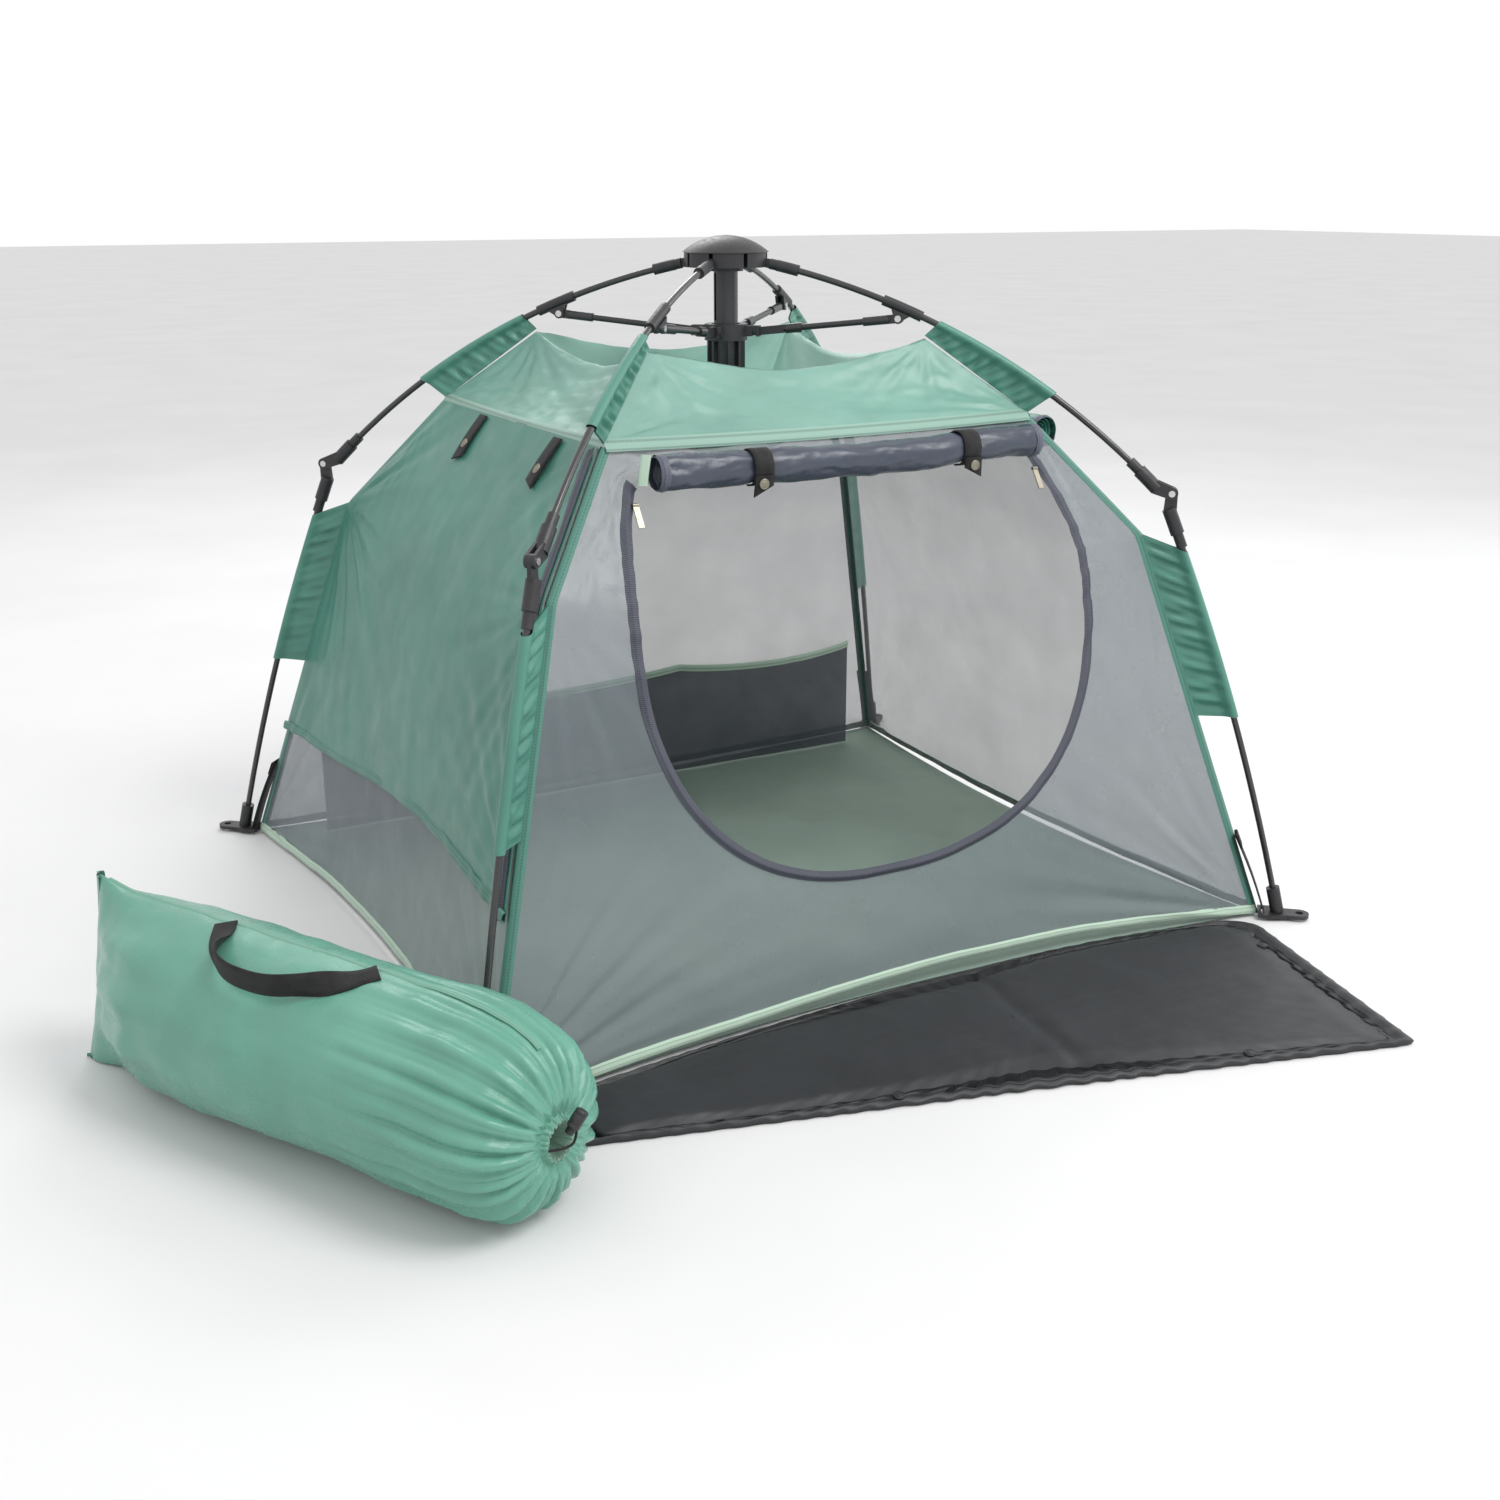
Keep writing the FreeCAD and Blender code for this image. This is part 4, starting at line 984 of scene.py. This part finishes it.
def door_ties():
    """A strap round the door's roll at each tie, with a slanted tail that hangs below it, and its snap."""
    out, z = roll_axis("front")
    for i, x in enumerate(DOOR_TIES):
        sign = -1 if x < 0 else 1
        angle = np.linspace(-0.5 * math.pi, 1.36 * math.pi, 70)
        ring_r = ROLL_R - 0.0012
        loop = roll_surface("front", np.full_like(angle, x), angle[::-1], ring_r + outer_slack(angle[::-1]))
        lean = 0.18 * sign
        drop = np.linspace(0.004, 0.022, 12)
        tail_out = out + ring_r + 0.0040 - 0.10 * drop + 0.5 * drop**2
        tail = place("front", x + lean * drop * 0.3, z - drop - 0.004, tail_out)
        loop_normal = np.stack([np.zeros_like(angle), -np.cos(angle[::-1]), np.sin(angle[::-1])], axis=-1)
        band = strap_piece(f"door_tie_{i + 1}", loop, (1, 0, 0), loop_normal, "webbing_straps")
        hang = strap_piece(
            f"door_tie_tail_{i + 1}", tail, (1, 0, 0), (0, -1, 0), "webbing_straps", tail_cut=0.012 * sign
        )
        stud_at = place("front", x + 0.002 * sign, z - 0.0175, out + ring_r + 0.0046)
        stud = snap(f"door_snap_{i + 1}", stud_at.tolist(), (0, -1, -0.05))
        for piece in (band, hang, stud):
            fold(piece, "front", sign, "roof")
    x, y, z = place("front", -0.256, 0.616, out - 0.004)
    tab_line = [[x - 0.006 * math.sin(t), y - 0.004, z + 0.017 - 0.033 * t] for t in np.linspace(0, 1, 12)]
    tab = strap_piece(
        "door_pull_tab", tab_line, (0.35, -0.3, 0), (0, -1, 0), "rolled_panels",
    )
    tab.data.materials[0] = PALE_BINDING
    fold(tab, "front", -1, "roof")


def cover_ties():
    """Two straps that hang flat on the sun cover from under the eave, each with its snap."""
    for i, y in enumerate(COVER_TIES):
        a = -y
        sign = -1 if a < 0 else 1
        z = np.linspace(EAVE[1] - 0.002, 0.586, 22)
        stand = COVER_STAND + 0.0022 + 0.0014 * np.sin(np.linspace(0, 3, 22))
        centre = on_wall("left", np.full_like(z, a), z, stand, relief=0.0)
        normal = np.array([-0.79, 0.0, 0.61])
        strap = strap_piece(
            f"cover_tie_{i + 1}", centre, (0, -1, 0), normal, "webbing_straps", tail_cut=0.008 * sign
        )
        at = on_wall("left", a, np.array(0.603), COVER_STAND + 0.0045, relief=0.0)
        stud = snap(f"cover_snap_{i + 1}", at.tolist(), normal.tolist())
        for piece in (strap, stud):
            fold(piece, "left", sign, "upper")


def corner_straps():
    """Webbing from each foot's slot up to the corner seam, and a short piece laid over its top end."""
    for arm in ARMS:
        low = np.array([0.7175, 0.0, 0.0085])
        high = np.array([float(share(0.112)) * REACH + 0.0042, 0.0, 0.112])
        t = np.linspace(0, 1, 26)[:, None]
        line = low + (high - low) * t
        line[:, 0] += 0.0025 * np.sin(math.pi * t[:, 0])
        way = (high - low) / np.linalg.norm(high - low)
        normal = np.array([way[2], 0.0, -way[0]])
        centre = in_arm_plane(arm, line - normal * 0.0006)
        across = in_arm_plane(arm, np.array([0.0, 1.0, 0.0]))
        outward = in_arm_plane(arm, normal)
        piece = strap_piece(f"{arm}_corner_strap", centre, across, outward, "webbing_straps")
        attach(piece, f"leg_{arm}")
        hem = [high - way * 0.020, high - way * 0.019, high - way * 0.001, high]
        hem = np.array(hem) + normal * np.array([0.0012, 0.0022, 0.0022, 0.0012])[:, None]
        patch = strap_piece(
            f"{arm}_strap_end", in_arm_plane(arm, hem), across, in_arm_plane(arm, normal), "webbing_straps"
        )
        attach(patch, f"leg_{arm}")


# ---- floor and pocket ----

def ground_sheet():
    """The tub floor's sheet, in tiles."""
    tiles = 4
    half_x, half_y = FOOT_X * HEM[0] - 0.002, FOOT_Y * HEM[0] - 0.002
    per = 22
    n = tiles * per + 1
    x, y = np.meshgrid(np.linspace(-half_x, half_x, n), np.linspace(-half_y, half_y, n), indexing="xy")
    flat = np.stack([x, y], axis=-1)
    edge = smooth(np.minimum((half_x - np.abs(x)), (half_y - np.abs(y))) / 0.05)
    relief = 0.0013 * swell(flat, 0.23, 61) + 0.0007 * swell(flat, 0.08, 62)
    z = 0.0034 + edge * np.clip(relief, -0.0022, 0.0045) * 1.2
    bow = lambda side, u: HEM_BOW[side] * np.clip(1 - u * u, 0, 1) ** 1.2
    pull_x = np.where(x > 0, bow("right", y / half_y), bow("left", y / half_y)) * (np.abs(x) / half_x) ** 4
    pull_y = np.where(y > 0, bow("back", x / half_x), bow("front", x / half_x)) * (np.abs(y) / half_y) ** 4
    points = np.stack([x - np.sign(x) * pull_x, y - np.sign(y) * pull_y, z], axis=-1)
    faces = grid_faces(n, n)
    normals = vertex_normals(points.reshape(-1, 3), faces)
    for row in range(tiles):
        for column in range(tiles):
            rows = np.arange(row * per, (row + 1) * per + 1)
            columns = np.arange(column * per, (column + 1) * per + 1)
            index = (rows[:, None] * n + columns[None]).ravel()
            part = mesh_piece(
                f"floor_{row + 1}_{column + 1}", points.reshape(-1, 3)[index],
                grid_faces(per + 1, per + 1), FLOOR,
                flat.reshape(-1, 2)[index], normals[index],
            )
            stands_for("floor_sheet")
            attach(part, "root")
            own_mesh(part)


POCKET_HALF = 0.448
POCKET_Y = 0.411
POCKET_TOP = 0.182


def storage_pocket():
    """A mesh pocket hung across the back wall, its mouth bound in pale green and sewn down at its middle."""
    x = np.linspace(-POCKET_HALF, POCKET_HALF, 141)[None, :]
    t = np.linspace(0, 1, 40)[:, None]
    seam = 0.132
    left = np.clip((x + POCKET_HALF) / (seam + POCKET_HALF), 0, 1)
    right = np.clip((x - seam) / (POCKET_HALF - seam), 0, 1)
    bay = np.sin(math.pi * np.where(x < seam, left, right)) ** 0.8
    z = 0.006 + (POCKET_TOP - 0.006) * t - 0.009 * bay * t**3
    grid = np.stack(np.broadcast_arrays(x, z), axis=-1)
    belly = 0.020 * bay * np.sin(math.pi * np.clip(t, 0, 1) * 0.62)
    y = POCKET_Y - belly - 0.0015 * swell(grid, 0.09, 81) * bay
    points = np.stack(np.broadcast_arrays(x, y, z), axis=-1)
    cut_and_fold(
        "pocket", "back", points.reshape(-1, 3), grid_faces(*points.shape[:2]), grid.reshape(-1, 2),
        POCKET, "storage_pocket", ("lower",),
    )
    rim = points[-1]
    rows = []
    for rise, out in (
        (-0.010, -0.0006), (-0.009, -0.0022), (0.0, -0.0026), (0.0012, 0.0), (0.0, 0.0022), (-0.009, 0.0018),
    ):
        rows.append(rim + np.array([0.0, out, rise]))
    band = np.stack(rows, axis=1)
    uv = np.stack(np.broadcast_arrays(np.array([0, 0.1, 0.45, 0.5, 0.55, 1.0])[None], rim[:, :1]), axis=-1)
    cut_and_fold(
        "pocket_rim", "back", band.reshape(-1, 3), grid_faces(*band.shape[:2]), uv.reshape(-1, 2),
        PALE_BINDING, "storage_pocket", ("lower",),
    )


# ---- mat ----

MAT = ((0.505, -0.503), (0.426, -0.824), (-0.484, -0.571), (-0.458, -0.476), (0.486, -0.476))
MAT_TUCK = 0.046  # how far its back edge reaches in under the bowed hem


def rounded_outline(corners, radius, step):
    """A closed outline through corners, each rounded, as evenly spaced points."""
    corners = [np.array(c) for c in corners]
    points = []
    for before, at, after in zip(corners[-1:] + corners[:-1], corners, corners[1:] + corners[:1]):
        into, away = (at - before), (after - at)
        into, away = into / np.linalg.norm(into), away / np.linalg.norm(away)
        for t in np.linspace(0, 1, 9):
            p0, p1 = at - into * radius, at + away * radius
            points.append((1 - t) ** 2 * p0 + 2 * t * (1 - t) * at + t**2 * p1)
    points = np.array(points + points[:1])
    walked = np.concatenate([[0], np.cumsum(np.linalg.norm(np.diff(points, axis=0), axis=1))])
    count = int(walked[-1] / step)
    at = np.linspace(0, walked[-1], count, endpoint=False)
    return np.stack([np.interp(at, walked, points[:, k]) for k in range(2)], axis=-1), walked[-1]


def padded_mat():
    """A thin padded mat: a puffed face, a crease at its fold, and a hem puckered by its stitching."""
    across = np.linspace(-0.9, 0.9, 13)
    tucked = [(0.014 + 0.472 * u, -0.476 + MAT_TUCK * (1 - (u - 0.15 * (1 - u * u)) ** 2)) for u in across]
    outline, round_length = rounded_outline((*MAT[:4], *tucked, MAT[4]), 0.010, 0.0058)
    middle = np.array([0.06, -0.57])
    count = len(outline)
    walk = np.arange(count) / count * round_length
    pucker = np.sin(2 * math.pi * walk / 0.031 + 1.3 * np.sin(2 * math.pi * walk / 0.17))
    inward = middle - outline
    inward /= np.linalg.norm(inward, axis=1)[:, None]
    outline = outline + inward * (0.0024 + 0.0018 * pucker[:, None])
    hem_rings = [0.0, 0.0015, 0.004, 0.009, 0.0135, 0.017, 0.020, 0.024, 0.031]
    rings_top = np.concatenate([hem_rings, np.linspace(0.04, 1, 44)])
    reach = np.linalg.norm(outline - middle, axis=1)
    layers = []
    for ring in rings_top:
        share_in = ring / reach if ring < 0.035 else np.full(count, ring)
        flat = outline + (middle - outline) * np.clip(share_in, 0, 0.995)[:, None]
        from_edge = share_in * reach
        body = 0.0048 + 0.0072 * smooth((from_edge - 0.018) / 0.045)
        rim = 0.0048 + 0.0034 * np.sin(math.pi * np.clip(from_edge / 0.018, 0, 1))
        height = np.where(from_edge < 0.018, rim, body)
        stitch = -0.0016 * np.exp(-(((from_edge - 0.0185) / 0.0016) ** 2))
        quilt = 0.0019 * swell(flat, 0.16, 91) + 0.0011 * swell(flat, 0.055, 92)
        rays = 0.0012 * pucker * np.exp(-from_edge / 0.020)
        crease = -0.0042 * np.exp(-(((flat[:, 0] - 0.075 - 0.12 * (flat[:, 1] + 0.6)) / 0.011) ** 2))
        top = height + stitch + rays + (quilt + crease) * smooth((from_edge - 0.012) / 0.03)
        if ring == 0.0:
            top = np.full(count, 0.0040)
        layers.append(np.column_stack([flat, np.clip(top, 0.002, 0.0155)]))
    under = np.column_stack([outline + inward * 0.002, np.full(count, 0.0004)])
    small = np.tile(middle, (count, 1)) + (outline - middle) * 0.01
    centre_under = np.column_stack([small, np.full(count, 0.0004)])
    points = np.stack([centre_under, under, *layers], axis=0)
    uv = points[..., :2]
    piece = grid_piece("padded_mat_cloth", points, QUILT, uv, wrap=True)
    stands_for("padded_mat")
    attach(piece, "mat")
    for i, (x, y) in enumerate(((-0.150, -0.654), (0.235, -0.761), (0.452, -0.560))):
        stud = snap(f"mat_snap_{i + 1}", (x, y, 0.0100), (0, 0, 1), "padded_mat", 0.0065)
        stud.data.materials[0] = NYLON
        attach(stud, "mat")


# ---- carry bag ----

BAG_START = np.array([-0.838, -0.148])
BAG_END = np.array([-0.546, -0.699])
BAG_Z = 0.092
BAG_WAY = (BAG_END - BAG_START) / np.linalg.norm(BAG_END - BAG_START)
BAG_SIDE = np.array([-BAG_WAY[1], BAG_WAY[0]])
BAG_LENGTH = float(np.linalg.norm(BAG_END - BAG_START))


def in_bag(along, side, z):
    """Points from the bag's own axes: metres along it, sideways toward the tent, and up."""
    along, side, z = np.broadcast_arrays(along, side, z)
    return np.stack([
        BAG_START[0] + BAG_WAY[0] * along + BAG_SIDE[0] * side,
        BAG_START[1] + BAG_WAY[1] * along + BAG_SIDE[1] * side,
        z,
    ], axis=-1)


# The bag's profile: how far along, half width, half height, and how much the gathers' pleats show
BAG_PROFILE = (
    (0.000, 0.0030, 0.1080, 0.0), (0.014, 0.0200, 0.1050, 0.0), (0.050, 0.0560, 0.1010, 0.0),
    (0.125, 0.0890, 0.0985, 0.0), (0.280, 0.0985, 0.0985, 0.0), (0.460, 0.0985, 0.0980, 0.02),
    (0.530, 0.0965, 0.0960, 0.12), (0.562, 0.0925, 0.0920, 0.30), (0.584, 0.0860, 0.0855, 0.55),
    (0.600, 0.0760, 0.0760, 0.8), (0.611, 0.0640, 0.0640, 1.0), (0.618, 0.0500, 0.0500, 1.0),
    (0.621, 0.0370, 0.0370, 1.0), (0.618, 0.0270, 0.0270, 0.9), (0.617, 0.0225, 0.0225, 0.6),
    (0.6215, 0.0205, 0.0205, 0.35), (0.6235, 0.0185, 0.0185, 0.25), (0.6225, 0.0165, 0.0165, 0.25),
    (0.616, 0.0150, 0.0150, 0.35), (0.604, 0.0120, 0.0120, 0.4), (0.590, 0.0060, 0.0060, 0.3),
)
BAG_RISE = 0.099  # the stuffed body's axis
MOUTH_FROM = 0.50  # where the axis starts to dip to the mouth


def gather_wave(angle):
    """Crisp pleats round the mouth: narrow valleys between rounded folds."""
    rng = np.random.default_rng(53)
    total = np.zeros_like(angle)
    for k, size in ((23, 1.0), (14, 0.55), (37, 0.35)):
        phase = k * angle + rng.uniform(0, 6.28) + 1.1 * np.sin(3 * angle + k)
        total = total + size * (1.4 * np.abs(np.sin(phase / 2)) - 0.9)
    return total


def carry_bag():
    """A stuffed round bag: a flat sewn end, wrinkled sides, and a gathered mouth."""
    stations = np.array(BAG_PROFILE)
    size = stations[:, 2]
    walked = np.concatenate([[0], np.cumsum(np.hypot(np.diff(stations[:, 0]), np.diff(size)))])
    body_rows, mouth_rows = 170, 110
    shoulder = walked[6]
    body_walk = np.linspace(0, shoulder, body_rows)[:-1]
    walk = np.concatenate([body_walk, np.linspace(shoulder, walked[-1], mouth_rows)])
    along, wide, tall, pleat = (np.interp(walk, walked, stations[:, k]) for k in range(4))
    for _ in range(5):
        wide[1:-1] = (wide[:-2] + 2 * wide[1:-1] + wide[2:]) / 4
        tall[1:-1] = (tall[:-2] + 2 * tall[1:-1] + tall[2:]) / 4
    along, wide, tall, pleat = (k[:, None] for k in (along, wide, tall, pleat))
    columns = 360
    angle = np.linspace(0, 2 * math.pi, columns, endpoint=False)[None, :]
    c, s = np.cos(angle), np.sin(angle)
    surface = np.stack(np.broadcast_arrays(along, 0.098 * c, 0.098 * s), axis=-1)
    body = smooth(along / 0.05) * smooth((0.62 - along) / 0.10)
    folds = 0.0042 * swell(surface * np.array([0.5, 1.0, 1.0]), 0.17, 51) + 0.0022 * swell(surface, 0.075, 52)
    slack = 0.0060 * np.sin(9 * angle + 2.0 * np.sin(2 * angle) + 14 * along)
    slack = slack * np.exp(-(((along - 0.09) / 0.07) ** 2)) * np.abs(c) ** 0.5
    gather = gather_wave(angle)
    run_in = 0.0042 * gather * smooth((along - 0.36) / 0.22) * (1 - smooth(pleat / 0.5))
    deep = 0.0100 * gather * pleat * np.clip(tall / 0.06, 0.10, 1.0)
    relief = folds * body + slack * 0.6 + run_in + deep
    relief = np.minimum(relief, 0.0055)
    z = BAG_Z + (BAG_RISE - BAG_Z) * smooth((BAG_LENGTH - along) / (BAG_LENGTH - MOUTH_FROM))
    side = (wide + relief * np.minimum(wide / 0.04, 1.0)) * c + 0.004
    up = z + (tall + relief) * s
    corner = smooth((0.05 - along) / 0.05)
    up = up + corner * (0.005 * s - 0.001)
    side = side + corner * 0.0135 * (s - 1)
    lean = -0.020 * corner * np.clip(-s, 0, 1)
    gap = np.clip(0.010 - up, 0, None)
    side = side * (1 + 0.9 * gap)
    up = np.maximum(up, 0.0012)
    points = in_bag(along + lean, side, up)
    uv = np.stack(np.broadcast_arrays(walk[:, None], angle * 0.095), axis=-1)
    piece = grid_piece("carry_bag_cloth", points, BAG, uv, wrap=True)
    stands_for("carry_bag")
    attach(piece, "bag")
    lining_faces(piece, len(walk), columns)
    bag_seams(points)


def lining_faces(piece, rows, columns):
    """The cloth past the mouth's rim shows its pale coated side."""
    piece.data.materials.append(LINING)
    slots = np.zeros(len(piece.data.polygons), np.int32)
    slots[(rows - 24) * columns:] = 1
    piece.data.polygons.foreach_set("material_index", slots)


def seam_ridge(name, line, normals, half, rise, material, node):
    """A raised sewn ridge along a line on a surface."""
    step = np.gradient(line, axis=0)
    step /= np.maximum(np.linalg.norm(step, axis=1), 1e-9)[:, None]
    across = np.cross(normals, step)
    along = np.concatenate([[0], np.cumsum(np.linalg.norm(np.diff(line, axis=0), axis=1))])
    rows, uv = [], []
    for w, lift, u in ((-1, -0.3, 0.0), (-0.7, 0.7, 0.1), (0, 1.0, 0.5), (0.7, 0.7, 0.9), (1, -0.3, 1.0)):
        rows.append(line + across * half * w + normals * rise * lift)
        uv.append(np.stack([np.full(len(line), u), along], axis=-1))
    piece = grid_piece(name, np.stack(rows, axis=1), material, np.stack(uv, axis=1))
    stands_for(node)
    return piece


def bag_seams(points):
    """The flat end's sewn edge and the seam along the top."""
    columns = points.shape[1]
    edge = points[0][np.arange(-columns // 4, columns // 4 + 1)]
    outward = np.tile([-BAG_WAY[0], -BAG_WAY[1], 0.0], (len(edge), 1))
    sewn = seam_ridge("bag_end_seam", edge, outward, 0.0042, 0.0050, BAG_BINDING, "carry_bag")
    top = points[4:212, 84]
    up = np.tile([0.0, 0.0, 1.0], (len(top), 1))
    along = seam_ridge("bag_top_seam", top, up, 0.0034, 0.0010, BAG_BINDING, "carry_bag")
    for piece in (sewn, along):
        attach(piece, "bag")


HANDLE_SPAN = (0.310, 0.65)
HANDLE_TOP = 0.066
HANDLE_FLOP = math.radians(107)
HANDLE_FACE = math.radians(97)  # the way its width points where it stands on edge
HANDLE_FOOT_SIDE = 0.010


def bag_handle():
    """The webbing grip: its feet lie flat on the bag's top, and its loop has flopped over on edge."""
    t = np.linspace(0, 1, 90)
    first, last = (h * BAG_LENGTH for h in HANDLE_SPAN)
    lift = 0.004 + (HANDLE_TOP - 0.004) * (1 - np.abs(2 * t - 1) ** 2.6)
    along = first + (last - first) * (t + 0.018 * np.sin(2 * math.pi * t))
    on_edge = smooth(np.minimum(t, 1 - t) / 0.26)
    foot_z = BAG_RISE + 0.0985 + 0.0035
    side = HANDLE_FOOT_SIDE * (1 - on_edge) - lift * math.sin(HANDLE_FLOP)
    z = foot_z + lift * math.cos(HANDLE_FLOP)
    width_side, width_z = math.cos(HANDLE_FACE), math.sin(HANDLE_FACE)
    centre = in_bag(along, side + width_side * WEB_HALF * on_edge, z + width_z * WEB_HALF * on_edge)
    upright = np.array([BAG_SIDE[0] * width_side, BAG_SIDE[1] * width_side, width_z])
    inward = np.array([BAG_WAY[0], BAG_WAY[1], 0.0]) * np.where(t < 0.5, 1, -1)[:, None]
    step = np.gradient(centre, axis=0)
    step /= np.linalg.norm(step, axis=1)[:, None]
    across = upright * on_edge[:, None] + inward * (1 - on_edge)[:, None]
    across -= step * (across * step).sum(axis=1)[:, None]
    across /= np.linalg.norm(across, axis=1)[:, None]
    normal = np.cross(step, across)
    piece = strap_piece("bag_handle_grip", centre, across, normal, "bag_handle", thickness=0.0014)
    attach(piece, "bag")


# The mouth's axes: out of the bag, sideways toward the tent, and up, from the middle of the gathers
LOCK_FOOT = (0.008, 0.004, 0.010)
LOCK_LEAN = (0.3, 0.5, 0.81)
CORD_R = 0.0013
CORD_ROUTE = (
    (0.0015, -0.016, 0.0), (0.008, -0.002, -0.003), (0.009, 0.0145, -0.0025), (0.007, 0.0165, 0.0125),
)


def at_mouth(point):
    out, side, rise = point
    return Vector(in_bag(BAG_LENGTH + out, side, BAG_Z + rise).tolist())


def cord_lock():
    """The barrel toggle: a sprung stem in a ribbed barrel with a rounded top."""
    foot = at_mouth(LOCK_FOOT)
    lean = (at_mouth([a + 0.01 * b for a, b in zip(LOCK_FOOT, LOCK_LEAN)]) - foot).normalized()
    one = lean.orthogonal().normalized()
    two = lean.cross(one)
    profile = (
        (0.0, 0.0001), (0.0, 0.0038), (0.0008, 0.0044), (0.0064, 0.0044), (0.0066, 0.0058),
        (0.0076, 0.0064), (0.0100, 0.0064), (0.0104, 0.0060), (0.0110, 0.0060), (0.0114, 0.0064),
        (0.0200, 0.0064), (0.0204, 0.0060), (0.0210, 0.0060), (0.0214, 0.0064), (0.0232, 0.0063),
        (0.0244, 0.0056), (0.0250, 0.0040), (0.0250, 0.0001),
    )
    angle = np.linspace(0, 2 * math.pi, 40, endpoint=False)
    rows = [
        [list(foot + lean * up + (one * math.cos(a) + two * math.sin(a)) * r) for a in angle]
        for up, r in profile
    ]
    piece = grid_piece("cord_lock_barrel", np.array(rows), NYLON, np.array(rows)[..., :2], wrap=True)
    stands_for("bag_cord_lock")
    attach(piece, "bag")
    return piece


def cord_curve(name, points):
    curve = bpy.data.curves.new(name, "CURVE")
    curve.dimensions = "3D"
    curve.bevel_depth = CORD_R
    curve.bevel_resolution = 5
    curve.use_fill_caps = True
    spline = curve.splines.new("NURBS")
    spline.points.add(len(points) - 1)
    for knot, point in zip(spline.points, points):
        knot.co = (*point, 1)
    spline.order_u = 3
    spline.use_endpoint_u = True
    spline.resolution_u = 16
    curve.materials.append(CORD)
    piece = bpy.data.objects.new(name, curve)
    bpy.context.scene.collection.objects.link(piece)
    return piece


def drawcord(lock):
    points = [at_mouth(p) for p in CORD_ROUTE]
    piece = cord_curve("drawcord", points)
    stands_for("bag_drawcord")
    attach(piece, "bag")


# ---- camera, light and floor ----

CAMERA_AT = (-1.0524, -1.9697, 0.9025)
CAMERA_TO = (0.0266, -0.0147, 0.1766)
CAMERA_LENS = 41.38


def aim(thing, at, to):
    thing.location = at
    thing.rotation_euler = (Vector(to) - Vector(at)).to_track_quat("-Z", "Y").to_euler()


def camera():
    data = bpy.data.cameras.new("camera")
    data.lens = CAMERA_LENS
    data.sensor_width = 36
    data.clip_end = 60
    thing = bpy.data.objects.new("camera", data)
    bpy.context.scene.collection.objects.link(thing)
    aim(thing, CAMERA_AT, CAMERA_TO)
    bpy.context.scene.camera = thing


def area_light(name, at, to, size, power, tint=(1, 1, 1)):
    data = bpy.data.lights.new(name, "AREA")
    data.shape = "DISK"
    data.size = size
    data.energy = power
    data.color = tint
    thing = bpy.data.objects.new(name, data)
    bpy.context.scene.collection.objects.link(thing)
    aim(thing, at, to)


FLOOR_REACH = 30
FLOOR_Z = -0.0006


def studio():
    """A pale seamless floor, a wide soft light high on the left, and a weaker one from the right."""
    material, tree, shader = node_material("studio_floor")
    where = tree.nodes.new("ShaderNodeTexCoord")
    grain = noise_node(tree, where.outputs["Object"], 2.0)
    tint = ramp_node(tree, grain, (0.68, 0.68, 0.69), (0.72, 0.72, 0.72))
    tree.links.new(tint, shader.inputs["Base Color"])
    shader.inputs["Roughness"].default_value = 0.85
    corners = [(x * FLOOR_REACH, y * FLOOR_REACH, FLOOR_Z) for x, y in ((-1, -1), (1, -1), (1, 1), (-1, 1))]
    floor = mesh_piece("studio_floor", np.array(corners, float), np.array([(0, 1, 2, 3)]), material)
    world = bpy.data.worlds.new("studio")
    bpy.context.scene.world = world
    world.use_nodes = True
    background = world.node_tree.nodes["Background"]
    background.inputs["Color"].default_value = (1, 1, 1, 1)
    background.inputs["Strength"].default_value = 1.0
    area_light("key", (0.9, -2.2, 3.0), (0, 0, 0.2), 1.8, 70, (1.0, 0.99, 0.97))
    area_light("fill", (2.9, -0.4, 1.6), (0, 0, 0.3), 2.0, 16, (0.95, 0.98, 1.0))
    area_light("rim", (0.8, 2.6, 2.6), (0, 0, 0.4), 1.6, 26)
    bpy.context.scene.view_settings.view_transform = "Standard"


def paint(node, material):
    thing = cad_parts[node]
    thing.data.materials.clear()
    thing.data.materials.append(material)


def paint_frame():
    for arm in ARMS:
        for piece in ("upper_pole", "lower_pole"):
            paint(f"{arm}_{piece}", FIBREGLASS)
        for piece in ("crown_fitting", "strut_bracket", "knee_upper", "knee_lower", "foot"):
            paint(f"{arm}_{piece}", NYLON)
        paint(f"{arm}_strut", TUBE)
        paint(f"{arm}_rivets", STEEL)
    for node in ("crown_hub", "runner"):
        paint(node, NYLON)
    for node in ("crown_tube", "outer_tube", "slide_rod"):
        paint(node, TUBE)
    for node in ("door_zip_pull_left", "door_zip_pull_right"):
        paint(node, NICKEL)


camera()
studio()
paint_frame()
plain_walls()
front_wall()
door_zip()
hem_bindings()
corner_bindings()
sun_cover()
cover_zip()
roof()
eave_bindings()
pole_sleeves()
rolled_panel("front", ROLL, 201)
rolled_panel("back", COVER, 211)
rolled_panel("right", COVER, 221)
door_ties()
cover_ties()
corner_straps()
ground_sheet()
storage_pocket()
padded_mat()
carry_bag()
bag_handle()
drawcord(cord_lock())
